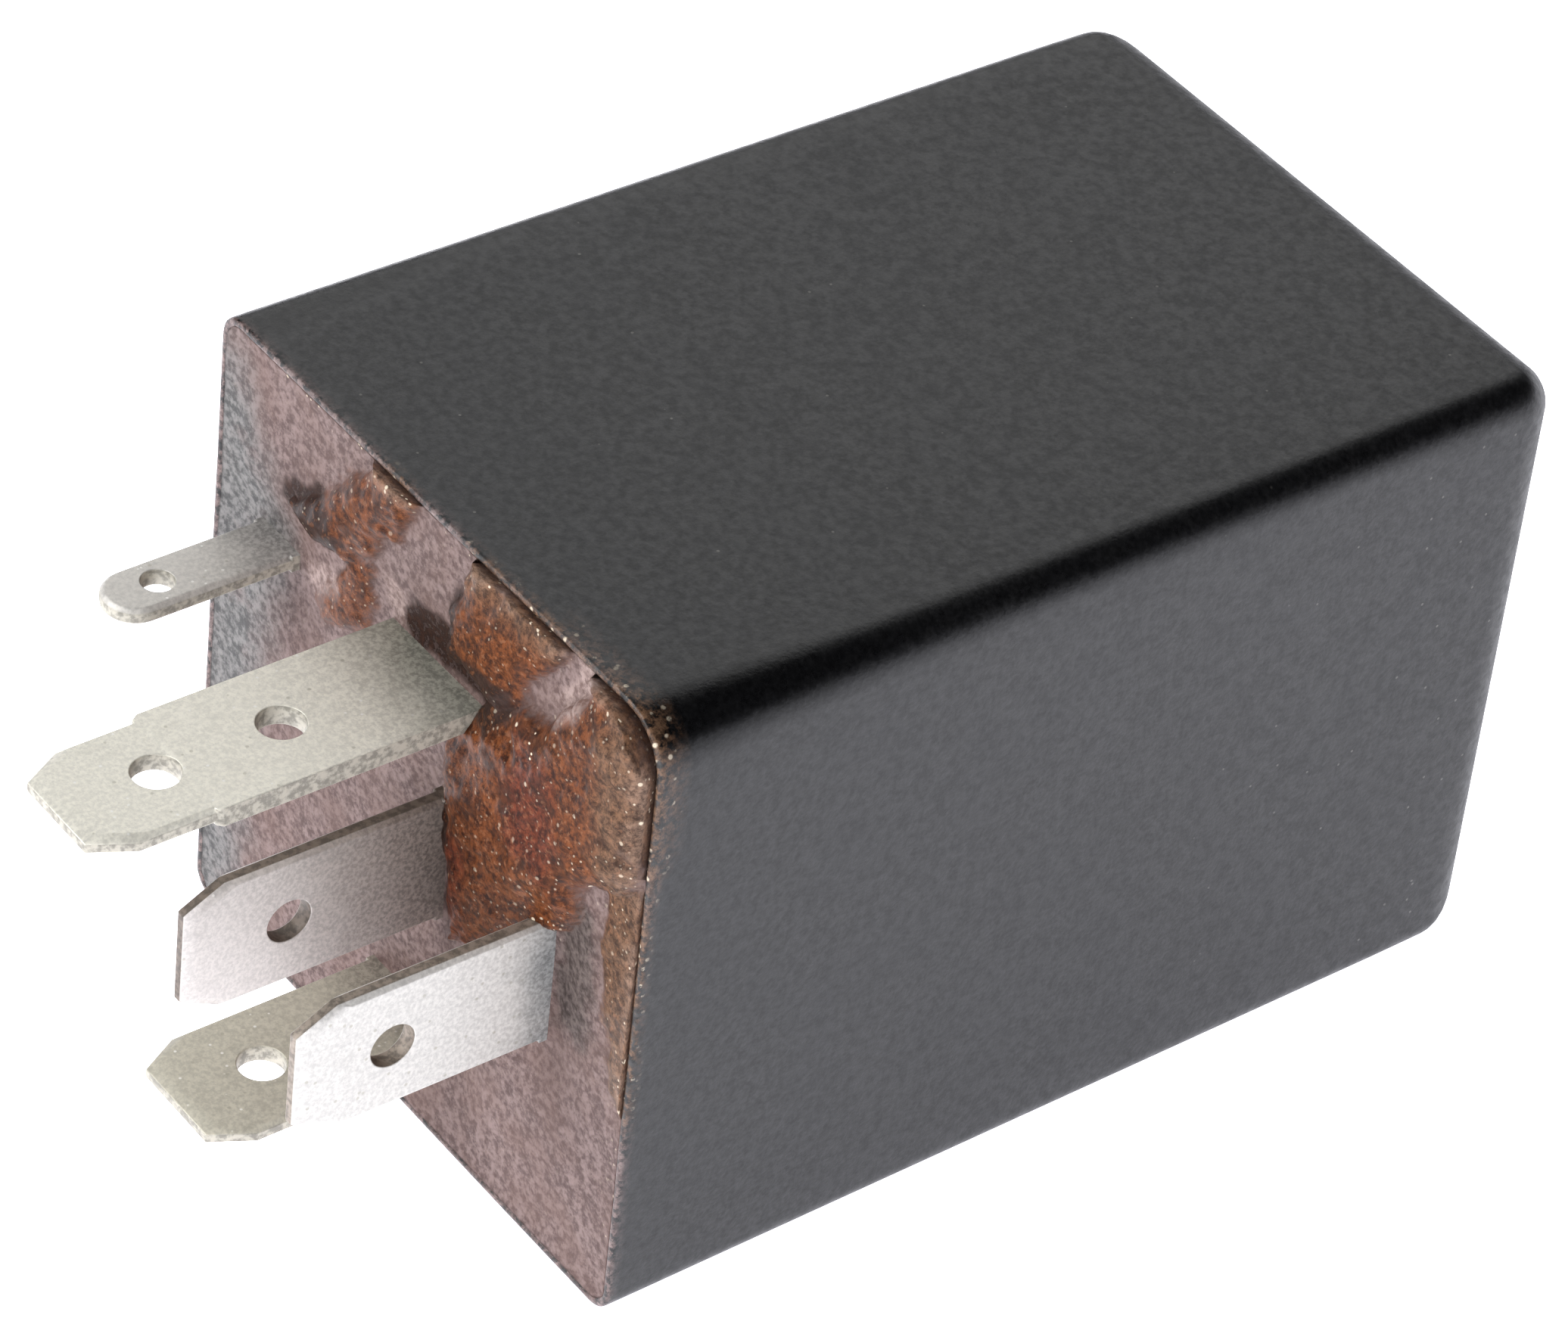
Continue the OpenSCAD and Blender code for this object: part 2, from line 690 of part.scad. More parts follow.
module leaf_ferrule() {
    r = ferrule_bore + ferrule_wall;
    z0 = coil_z + 2.1;
    z1 = coil_z + 4.0;
    color("#b98252") open_pose() difference() {
        union() {
            rod_z(r, z0, z1, leaf_ferrule_x, leaf_ferrule_y);
            block([leaf_ferrule_x - ferrule_foot, leaf_y1 + touch, z0],
                [leaf_ferrule_x + ferrule_foot, leaf_ferrule_y, z1]);
        }
        rod_z(ferrule_bore, z0 - over, z1 + over, leaf_ferrule_x, leaf_ferrule_y);
    }
}

// Contact rivet: a head from its face back to the carrier, a shank through the carrier and a foot.
// toward is +1 when the face looks to +Y.
module fixed_contact(x, face_y, back_y, toward) {
    half_foot = 0.18;
    foot_y = back_y - toward * (strip_t + half_foot + 3 * touch);
    shank_y = back_y + toward * 0.1;
    translate([x, 0, coil_z]) {
        rod_y(contact_r + 0.1, min(face_y, back_y), max(face_y, back_y), 0, 0);
        rod_y(rivet_shank_r, min(shank_y, foot_y), max(shank_y, foot_y), 0, 0);
        rod_y(contact_r - 0.2, foot_y - half_foot, foot_y + half_foot, 0, 0);
    }
}

module make_contact() {
    color("#d9d4c4") fixed_contact(contact_x, leaf_y0 - contact_head - contact_gap,
        make_flag_y + strip_t + touch, 1);
}

module break_contact() {
    met = opened([contact_x, leaf_y1 + contact_head, 0]);
    color("#d9d4c4") fixed_contact(met[0], met[1] + contact_gap, break_flag_y - touch, -1);
}

// ---- spring and braid ----

module return_spring() {
    wire_r = 0.16;
    mean_r = 0.78;
    y0 = 15.2;
    y1 = 24.8;
    lower_hook = 12.4;
    upper_hook = 29.2;
    steps = 10;
    count = spring_turns * steps;
    coil = [
        for (i = [0:count])
            let (a = 360 * i / steps)
            [tail_x + mean_r * cos(a), y0 + (y1 - y0) * i / count, coil_z + mean_r * sin(a)]
    ];
    // straight ends through the two holes, each turned over by a short hook
    hook = curve([[0.9, 0, 0], [0.45, 0.02, 0], [0.05, 0.3, 0], [0, 0.9, 0]], 3);
    lower = [for (p = hook) [tail_x + p[0], lower_hook + p[1], coil_z]];
    upper = [for (i = [len(hook) - 1:-1:0]) [tail_x + hook[i][0], upper_hook - hook[i][1], coil_z]];
    start = [[tail_x, y0 - 1.1, coil_z], [tail_x + 0.25, y0 - 0.6, coil_z]];
    end = [[tail_x + 0.25, y1 + 0.6, coil_z], [tail_x, y1 + 1.1, coil_z]];
    color("#8f9193") wire(concat(lower, start, coil, end, upper), wire_r, 6, [0.02, 0.1, 1]);
}

module supply_ferrule() {
    r = ferrule_bore + ferrule_wall;
    x = supply_ferrule_at[0];
    z = supply_ferrule_at[1];
    y0 = 4.6;
    y1 = 7.0;
    foot_z = supply_at[1] + long_root_t / 2 + touch;
    color("#b98252") difference() {
        union() {
            rod_y(r, y0, y1, x, z);
            block([x - ferrule_foot, y0, foot_z], [x + ferrule_foot, y1, z]);
        }
        rod_y(ferrule_bore, y0 - over, y1 + over, x, z);
    }
}

module contact_braid() {
    x = supply_ferrule_at[0];
    z = supply_ferrule_at[1];
    end_low = opened([leaf_ferrule_x, leaf_ferrule_y, coil_z + 2.2]);
    end_high = opened([leaf_ferrule_x, leaf_ferrule_y, coil_z + 4.2]);
    path = [
        [x, 4.8, z], [x, 6.0, z], [x, 7.2, z], [x + 0.1, 8.6, z], [x + 0.4, 13.0, z - 1.2],
        [x + 0.6, 19.0, z - 4.2], [x - 0.2, 25.0, z - 6.3], [end_high[0] + 1.6, 29.8, 1.9],
        end_high + [0.1, 0, 0.9], end_high, end_low
    ];
    color("#b5683c") wire(curve(path, 4), braid_r, 12, [1, 0.2, 0.05]);
}

// ---- circuit board ----

function chip_pins() = [
    for (i = [-1.5:1:1.5], s = [-1, 1])
        [chip_at[0] + i * chip_pitch, chip_at[1] + s * chip_row]
];
function pair_x(c, d) = [[c[0] - d, c[1]], [c[0] + d, c[1]]];
function pair_y(c, d) = [[c[0], c[1] - d], [c[0], c[1] + d]];
resistor_pins = [for (y = resistor_ys) for (p = pair_x([resistor_x, y], resistor_lead)) p];
transistor_pins = [for (i = [-1:1]) [transistor_at[0] + i * transistor_pitch, transistor_lead_y]];
lead_places = concat(
    chip_pins(), pair_x(can_at, can_lead), pair_y(film_at, film_lead), resistor_pins,
    transistor_pins, pair_x(zener_at, zener_lead), pair_y(diode_at, diode_lead)
);

module circuit_board() {
    notch = blade_t / 2 + gap;
    notch_y = 6.3;
    color("#2f6b3f") difference() {
        block([board_x0, board_y0, board_z0], [board_x1, board_y1, board_z1]);
        for (p = lead_places) rod_z(lead_hole_r, board_z0 - over, board_z1 + over, p[0], p[1]);
        for (x = pin_xs) rod_z(pin_r + 0.1, board_z0 - over, board_z1 + over, x, pin_y);
        block([ground_at[0] - notch, 0, board_z0 - over], [ground_at[0] + notch, notch_y, board_z1 + over]);
    }
}

module timer_chip() {
    w = chip_size[0];
    l = chip_size[1];
    h = chip_size[2];
    slope = 0.5;             // how much narrower the ends of the moulded body are
    notch_r = 0.8;
    color("#26272a") translate([chip_at[0], chip_at[1], chip_z0]) difference() {
        hull() {
            translate([0, 0, h / 2]) cube([w, l, 0.3], center = true);
            for (z = [0.05, h - 0.05])
                translate([0, 0, z]) cube([w - slope, l - slope, 0.1], center = true);
        }
        rod_z(notch_r, h - 0.4, h + over, -w / 2 + 0.3, 0);
    }
}

module electrolytic_capacitor() {
    color("#27406e") translate([can_at[0], can_at[1], can_z0]) rotate_extrude() polygon([
        [0, 0], [can_r - 0.3, 0], [can_r, 0.3], [can_r, 0.9], [can_r - 0.22, 1.2], [can_r, 1.5],
        [can_r, can_h - 0.3], [can_r - 0.3, can_h], [can_r - 0.7, can_h],
        [can_r - 0.8, can_h - 0.15], [0, can_h - 0.15]
    ]);
}

module film_capacitor() {
    side = 0.4;              // what the rounded edges take off the sides
    end = 0.6;               // what they take off the top and bottom
    color("#b5322b") translate([film_at[0], film_at[1], film_z0 + film_size[2] / 2]) hull() {
        cube(film_size - [0, side, end], center = true);
        cube(film_size - [side, 0, end], center = true);
        cube(film_size - [side, side, 0], center = true);
    }
}

module power_transistor() {
    z0 = transistor_z0;
    z1 = z0 + transistor_size[2];
    slope = 0.3;
    tab_hole_r = 1.6;
    x = transistor_at[0];
    y = transistor_at[1];
    w = transistor_size[0] / 2;
    l = transistor_size[1] / 2;
    color("#232427") difference() {
        hull() {
            block([x - w, y - l, z0 + 0.8], [x + w, y + l, z0 + 1.4]);
            block([x - w + slope, y - l + slope, z0], [x + w - slope, y + l - slope, z1]);
        }
        rod_z(tab_hole_r, z0 - over, z1 + over, x, y + 1.6);
    }
}

// Dog-bone body of an axial part, centred on the origin and lying along Y
module axial_body(r, length, waist) {
    half = length / 2;
    rotate([-90, 0, 0]) rotate_extrude() polygon([
        [0, -half], [r - 0.3, -half], [r, -half + 0.3], [r, -half + 1.1], [r - waist, -half + 1.5],
        [r - waist, half - 1.5], [r, half - 1.1], [r, half - 0.3], [r - 0.3, half], [0, half]
    ]);
}

resistor_z = board_z1 + resistor_r + 0.1;
zener_z = board_z1 + zener_r + 0.1;
diode_z = board_z1 + diode_r + 0.1;

module resistors() {
    color("#c9a77c") for (y = resistor_ys)
        translate([resistor_x, y, resistor_z]) rotate([0, 0, 90]) difference() {
            axial_body(resistor_r, resistor_len, 0.15);
            rod_y(lead_r + touch, -resistor_len, -resistor_len / 2 + 0.6, 0, 0);
            rod_y(lead_r + touch, resistor_len / 2 - 0.6, resistor_len, 0, 0);
        }
}

module zener_diode() {
    color("#c2542c") translate([zener_at[0], zener_at[1], zener_z]) rotate([0, 0, 90])
        axial_body(zener_r, zener_len, 0);
}

module flyback_diode() {
    color("#2a2b2d") translate([diode_at[0], diode_at[1], diode_z])
        axial_body(diode_r, diode_len, 0);
}

// Lead that leaves a body end, bends down and passes through the board
module bent_lead(from, to, z) {
    bottom = board_z0 - lead_below;
    dir = unit([to[0] - from[0], to[1] - from[1], 0]);
    bend = 0.6;
    knee = [to[0], to[1], z];
    wire(concat(
        [[from[0], from[1], z]],
        [for (a = [0:30:90]) knee - bend * [0, 0, 1] - bend * dir + bend * (dir * sin(a) + [0, 0, cos(a)])],
        [[to[0], to[1], bottom]]), lead_r, 8, cross(dir, [0, 0, 1]) + dir * 0.01 + [0, 0, 0.013]);
}

module component_leads() {
    bottom = board_z0 - lead_below;
    chip_mid = chip_z0 + chip_size[2] / 2;
    body_edge = chip_size[1] / 2 + touch;
    shoulder = 0.65;         // half width of a chip lead where it leaves the body
    leg = 0.25;              // half width of its leg, and of a transistor lead
    half_t = 0.15;
    color("#c8c9c4") {
        for (p = chip_pins()) {
            s = sign(p[1] - chip_at[1]);
            inner = chip_at[1] + s * body_edge;
            outer = p[1] + s * half_t;
            near = min(inner, outer);
            far = max(inner, outer);
            block([p[0] - shoulder, near, chip_mid - 0.13], [p[0] + shoulder, far, chip_mid + 0.13]);
            block([p[0] - shoulder, p[1] - half_t, chip_z0 - 0.2],
                [p[0] + shoulder, p[1] + half_t, chip_mid]);
            block([p[0] - leg, p[1] - half_t, bottom], [p[0] + leg, p[1] + half_t, chip_z0]);
        }
        for (p = pair_x(can_at, can_lead)) rod_z(lead_r, bottom, can_z0 - touch, p[0], p[1]);
        for (p = pair_y(film_at, film_lead)) rod_z(lead_r, bottom, film_z0 - touch, p[0], p[1]);
        for (p = resistor_pins)
            let (s = sign(p[0] - resistor_x))
            bent_lead([resistor_x + s * (resistor_len / 2 - 0.4), p[1]], p, resistor_z);
        for (p = pair_x(zener_at, zener_lead))
            let (s = sign(p[0] - zener_at[0]))
            bent_lead([zener_at[0] + s * (zener_len / 2 + touch), p[1]], p, zener_z);
        for (p = pair_y(diode_at, diode_lead))
            let (s = sign(p[1] - diode_at[1]))
            bent_lead([p[0], diode_at[1] + s * (diode_len / 2 + touch)], p, diode_z);
        for (p = transistor_pins) {
            top = transistor_z0 + 1.1;
            start = transistor_at[1] - transistor_size[1] / 2 - touch;
            block([p[0] - leg, p[1] - leg, top - leg], [p[0] + leg, start, top + leg]);
            block([p[0] - leg, p[1] - leg, bottom], [p[0] + leg, p[1] + leg, top]);
        }
    }
}

// Cones of solder around each lead under the board, and around the two coil pins above it
module solder_joints() {
    foot = 0.85;
    top_r = 0.5;
    bore = 0.4;
    h = 0.7;
    pin_joint_r = 1.0;
    pin_joint_h = 0.5;
    color("#b7b9ba") {
        for (p = lead_places) difference() {
            translate([p[0], p[1], board_z0 - h - touch]) cylinder(h = h, r1 = top_r, r2 = foot);
            rod_z(bore, board_z0 - 2, board_z0 + 1, p[0], p[1]);
        }
        for (x = pin_xs) difference() {
            rod_z(pin_joint_r, board_z1 + touch, board_z1 + pin_joint_h, x, pin_y);
            rod_z(pin_r + 0.02, board_z1 - 1, board_z1 + 2, x, pin_y);
        }
    }
}

cover();
potting_resin();
resin_beads();
base_plate();
frame_screws();
supply_terminal();
control_terminal();
ground_terminal();
make_terminal();
break_terminal();
yoke();
core();
bobbin();
coil_winding();
coil_pins();
coil_leads();
armature();
contact_leaf();
leaf_rivets();
moving_contact();
leaf_ferrule();
make_contact();
break_contact();
return_spring();
supply_ferrule();
contact_braid();
circuit_board();
timer_chip();
electrolytic_capacitor();
film_capacitor();
power_transistor();
resistors();
flyback_diode();
zener_diode();
component_leads();
solder_joints();
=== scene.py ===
"""Looks of a plug-in relay: black cover, poured resin, tinned blades, and the magnet and board inside it."""

import math

import bmesh
import bpy
import numpy as np
from mathutils import Matrix, Vector, noise


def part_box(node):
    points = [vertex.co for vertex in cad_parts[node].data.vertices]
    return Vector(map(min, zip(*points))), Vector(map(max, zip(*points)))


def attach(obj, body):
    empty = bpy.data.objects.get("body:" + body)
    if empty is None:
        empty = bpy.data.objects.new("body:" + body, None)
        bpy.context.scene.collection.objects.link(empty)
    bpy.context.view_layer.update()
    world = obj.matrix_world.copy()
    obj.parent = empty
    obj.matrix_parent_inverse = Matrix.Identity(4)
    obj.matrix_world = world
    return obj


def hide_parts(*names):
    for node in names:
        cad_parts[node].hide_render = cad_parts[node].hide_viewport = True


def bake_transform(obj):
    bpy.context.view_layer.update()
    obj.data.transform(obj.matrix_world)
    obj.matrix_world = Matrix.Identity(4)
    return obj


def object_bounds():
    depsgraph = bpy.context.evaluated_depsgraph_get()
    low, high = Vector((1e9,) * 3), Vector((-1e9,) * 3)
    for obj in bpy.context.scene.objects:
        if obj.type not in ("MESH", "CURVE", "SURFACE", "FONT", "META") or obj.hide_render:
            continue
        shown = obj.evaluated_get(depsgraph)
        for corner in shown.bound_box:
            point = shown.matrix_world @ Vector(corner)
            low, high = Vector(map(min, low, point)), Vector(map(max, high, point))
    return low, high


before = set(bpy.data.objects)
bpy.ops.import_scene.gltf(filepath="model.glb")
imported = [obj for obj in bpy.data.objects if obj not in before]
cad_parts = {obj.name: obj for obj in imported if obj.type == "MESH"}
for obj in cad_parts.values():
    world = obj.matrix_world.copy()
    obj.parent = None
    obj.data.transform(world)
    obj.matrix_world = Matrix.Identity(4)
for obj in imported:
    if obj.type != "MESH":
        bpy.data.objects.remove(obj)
cad_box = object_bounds()

MM = 0.001
CENTRE = (cad_box[0] + cad_box[1]) / 2


# -------- places and sizes, in mm

def box_mm(node):
    """Lowest and highest corner of a CAD node, in mm."""
    low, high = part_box(node)
    return low / MM, high / MM


def middle(node):
    """Centre of a CAD node's box, in mm."""
    low, high = box_mm(node)
    return (low + high) / 2


COVER_HIGH = box_mm("cover")[1]
HALF = COVER_HIGH.x                 # half width of the cover at its mouth
LENGTH = COVER_HIGH.y               # from the mouth to the closed end
WALL = 1.0
DRAFT = 0.3                         # each side closes in by this much at the closed end
SINK = 0.05                         # the middle of each side sinks by this much
LONG_EDGE = 1.2                     # radius of the long edges
SOFT_EDGE = 1.5                     # radius of the softest one, at +X +Z, well behind the mouth
SOFT_CORNER = 2.5                   # and at the mouth
SOFT_FADE = 9.0                     # distance over which the one turns into the other
END_EDGE = 2.6                      # radius around the closed end
RIM = 1.5                           # length of the worn rim
LEAD_IN = 0.74                      # width of the chamfer inside the mouth
LEAD_IN_DEPTH = 0.9
MOUTH_HALF = HALF - WALL + LEAD_IN  # half width of the opening, across the chamfer
RESIN_HALF = MOUTH_HALF - 0.07
RESIN_CORNER = 0.9                  # radius of the resin's corners, but for the soft one
RESIN_BACK = box_mm("base_plate")[0].y - 0.01
RESIN_LEVEL = 0.15                  # depth of the resin's surface below the rim


# -------- mesh helpers

def smooth_step(t):
    """Eases from 0 to 1 as t goes from 0 to 1."""
    t = np.clip(t, 0.0, 1.0)
    return t * t * (3 - 2 * t)


def add_piece(name, points_mm, faces, material, body="base", smooth=True):
    """Makes a mesh object from points in mm, rides it on a body unless that is None, and returns it."""
    mesh = bpy.data.meshes.new(name)
    mesh.from_pydata([Vector(p) * MM for p in points_mm], [], faces)
    made = bmesh.new()
    made.from_mesh(mesh)
    bmesh.ops.recalc_face_normals(made, faces=made.faces)
    made.to_mesh(mesh)
    made.free()
    mesh.polygons.foreach_set("use_smooth", [smooth] * len(mesh.polygons))
    mesh.materials.append(material)
    obj = bpy.data.objects.new(name, mesh)
    bpy.context.collection.objects.link(obj)
    if body:
        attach(obj, body)
    return obj


def add_values(obj, name, values):
    """Stores one number per vertex, for a material to read."""
    attribute = obj.data.attributes.new(name, "FLOAT", "POINT")
    attribute.data.foreach_set("value", np.asarray(values, np.float32))


def bevel(obj, width_mm):
    """Rounds the sharp edges of a piece, after a weld of split edges and a merge of flat faces."""
    weld = obj.modifiers.new("weld", "WELD")
    weld.merge_threshold = 0.002 * MM
    flats = obj.modifiers.new("flats", "DECIMATE")
    flats.decimate_type = "DISSOLVE"
    flats.angle_limit = math.radians(0.5)
    edge = obj.modifiers.new("bevel", "BEVEL")
    edge.width = width_mm * MM
    edge.segments = 2
    edge.limit_method = "ANGLE"
    edge.angle_limit = math.radians(30)
    edge.harden_normals = False
    normals = obj.modifiers.new("normals", "WEIGHTED_NORMAL")
    normals.keep_sharp = False


def rounded_square(half, radius, first_radius, corner_steps=8, side_steps=14):
    """Points (x, z) of a square with round corners, in order round it. The first corner is at +X +Z."""
    radii = [first_radius, radius, radius, radius]
    points = []
    for corner, r in enumerate(radii):
        start = corner * math.pi / 2
        cx = math.copysign(half - r, math.cos(start + math.pi / 4))
        cz = math.copysign(half - r, math.sin(start + math.pi / 4))
        for step in range(corner_steps + 1):
            a = start + step / corner_steps * math.pi / 2
            points.append((cx + r * math.cos(a), cz + r * math.sin(a)))
        run = 2 * half - r - radii[(corner + 1) % 4]
        along = (-math.sin(start + math.pi / 2), math.cos(start + math.pi / 2))
        x, z = points[-1]
        for step in range(1, side_steps):
            t = step / side_steps * run
            points.append((x + along[0] * t, z + along[1] * t))
    return points


def band(first, second):
    """Faces between two closed rings of point numbers."""
    count = len(first)
    return [(first[i], first[(i + 1) % count], second[(i + 1) % count], second[i]) for i in range(count)]


def fan(ring, hub):
    """Faces from a closed ring of point numbers to the point in its middle."""
    return [(point, ring[(i + 1) % len(ring)], hub) for i, point in enumerate(ring)]


def loft(rings):
    """Points and faces of a skin through rings of equal length, closed by a fan at each end."""
    count = len(rings[0])
    points = [p for ring in rings for p in ring]
    rows = [range(row * count, (row + 1) * count) for row in range(len(rings))]
    faces = [face for first, second in zip(rows, rows[1:]) for face in band(first, second)]
    for row, ring in ((rows[0], rings[0]), (rows[-1], rings[-1])):
        points.append(tuple(np.mean(np.array(ring), axis=0)))
        faces += fan(row, len(points) - 1)
    return points, faces


def tube(path, radius, sides, first_normal=(0.13, 0.21, 0.97)):
    """Points and faces of round wire along a path, with a frame that turns as little as it can."""
    path = [Vector(p) for p in path]
    normal = Vector(first_normal)
    rings = []
    for i, point in enumerate(path):
        ahead = path[min(i + 1, len(path) - 1)]
        behind = path[max(i - 1, 0)]
        tangent = (ahead - behind).normalized()
        normal = (normal - tangent * normal.dot(tangent)).normalized()
        other = tangent.cross(normal)
        rings.append([
            point + radius * (normal * math.cos(a) + other * math.sin(a))
            for a in (k * 2 * math.pi / sides for k in range(sides))
        ])
    return loft(rings)


def join(shapes):
    """Puts several (points, faces) shapes into one."""
    points, faces = [], []
    for more_points, more_faces in shapes:
        shift = len(points)
        points += list(more_points)
        faces += [tuple(i + shift for i in face) for face in more_faces]
    return points, faces


def spline(controls, steps):
    """Smooth curve through control points."""
    controls = [Vector(c) for c in controls]
    last = len(controls) - 1
    curve = []
    for i in range(last):
        a, b = controls[max(i - 1, 0)], controls[i]
        c, d = controls[i + 1], controls[min(i + 2, last)]
        for step in range(steps):
            t = step / steps
            curve.append(
                0.5 * (2 * b + (c - a) * t + (2 * a - 5 * b + 4 * c - d) * t * t
                       + (3 * b - a - 3 * c + d) * t * t * t)
            )
    return curve + [controls[-1]]


# -------- material helpers

def srgb(red, green, blue):
    """Linear colour from 0-255 display values."""
    values = [v / 255 for v in (red, green, blue)]
    return tuple(v / 12.92 if v <= 0.04045 else ((v + 0.055) / 1.055) ** 2.4 for v in values) + (1.0,)


def shaded(colour, factor):
    """A colour with its 0-255 display values multiplied."""
    return tuple(v * factor for v in colour)


class Shader:
    """A Principled material put together node by node. Its place output is in millimetres."""

    def __init__(self, name, **values):
        self.material = bpy.data.materials.new(name)
        self.material.use_nodes = True
        self.tree = self.material.node_tree
        self.tree.nodes.clear()
        self.bsdf = self.node("ShaderNodeBsdfPrincipled")
        output = self.node("ShaderNodeOutputMaterial")
        self.tree.links.new(self.bsdf.outputs[0], output.inputs[0])
        self.place = self.scaled(self.node("ShaderNodeTexCoord").outputs["Object"], 1 / MM)
        for socket, value in values.items():
            self.set(socket.replace("_", " ").title().replace("Ior", "IOR"), value)

    def node(self, kind, fed=(), **settings):
        """A new node. fed holds a socket or a value for each input, by name or number."""
        made = self.tree.nodes.new(kind)
        for key, value in settings.items():
            setattr(made, key, value)
        for key, value in dict(fed).items():
            self.feed(made.inputs[key], value)
        return made

    def feed(self, socket, value):
        if isinstance(value, bpy.types.NodeSocket):
            self.tree.links.new(value, socket)
        else:
            socket.default_value = value

    def set(self, socket, value):
        self.feed(self.bsdf.inputs[socket], value)

    def scaled(self, vector, factor):
        return self.node("ShaderNodeVectorMath", {0: vector, "Scale": factor}, operation="SCALE").outputs[0]

    def stretched(self, factors):
        """The place, scaled by its own factor along each axis."""
        return self.node("ShaderNodeVectorMath", {0: self.place, 1: factors}, operation="MULTIPLY").outputs[0]

    def noise(self, scale, detail=3.0, rough=0.55, vector=None):
        fed = {"Vector": vector or self.place, "Scale": scale, "Detail": detail, "Roughness": rough}
        return self.node("ShaderNodeTexNoise", fed).outputs["Fac"]

    def cells(self, scale):
        """Distance to the nearest cell centre, and a random value for each cell."""
        made = self.node("ShaderNodeTexVoronoi", {"Vector": self.place, "Scale": scale})
        split = self.node("ShaderNodeSeparateColor", {0: made.outputs["Color"]})
        return made.outputs["Distance"], split.outputs[0]

    def axis(self, index, vector=None):
        return self.node("ShaderNodeSeparateXYZ", {0: vector or self.place}).outputs[index]

    def normal_axis(self, index):
        """Size of the surface normal along one axis of the object."""
        normal = self.node("ShaderNodeTexCoord").outputs["Normal"]
        return self.math("ABSOLUTE", self.axis(index, normal))

    def stored(self, name):
        """The number that add_values stored at each vertex."""
        return self.node("ShaderNodeAttribute", attribute_name=name).outputs["Fac"]

    def math(self, operation, a, b=0.0):
        return self.node("ShaderNodeMath", {0: a, 1: b}, operation=operation).outputs[0]

    def times(self, a, b):
        return self.math("MULTIPLY", a, b)

    def between(self, value, low, high, new_low=0.0, new_high=1.0):
        """Maps low..high smoothly to new_low..new_high."""
        fed = {"Value": value, "From Min": low, "From Max": high, "To Min": new_low, "To Max": new_high}
        return self.node("ShaderNodeMapRange", fed, interpolation_type="SMOOTHSTEP").outputs["Result"]

    def mix(self, factor, *colours):
        """Blends two colours. Each is a socket, or a tuple of 0-255 display values."""
        a, b = (srgb(*colour) if isinstance(colour, tuple) else colour for colour in colours)
        return self.node("ShaderNodeMix", {0: factor, 6: a, 7: b}, data_type="RGBA").outputs[2]

    def specks(self, scale, size, share):
        """Small round specks: 1 inside them. share is how many of the cells hold one."""
        distance, pick = self.cells(scale)
        inside = self.between(distance, size, size * 0.5)
        return self.times(inside, self.math("LESS_THAN", pick, share))

    def bump(self, height, distance_mm, strength, after=None):
        """Bumps the normal, on top of an earlier bump if there is one."""
        fed = {"Height": height, "Distance": distance_mm * MM, "Strength": strength}
        if after is not None:
            fed["Normal"] = after
        bumped = self.node("ShaderNodeBump", fed).outputs[0]
        self.set("Normal", bumped)
        return bumped


# -------- materials

RESIN_DARK, RESIN_LIGHT, RESIN_WARM = (87, 71, 69), (134, 116, 113), (110, 88, 81)
RUST_DARK, RUST_LIGHT = (42, 17, 8), (117, 65, 33)
DUST_DARK, DUST_LIGHT = (58, 41, 30), (120, 91, 70)
# colour of painted glints: bright specks in the colour that stand in for sparkles of light
PAINTED_GLINT = (236, 220, 196)


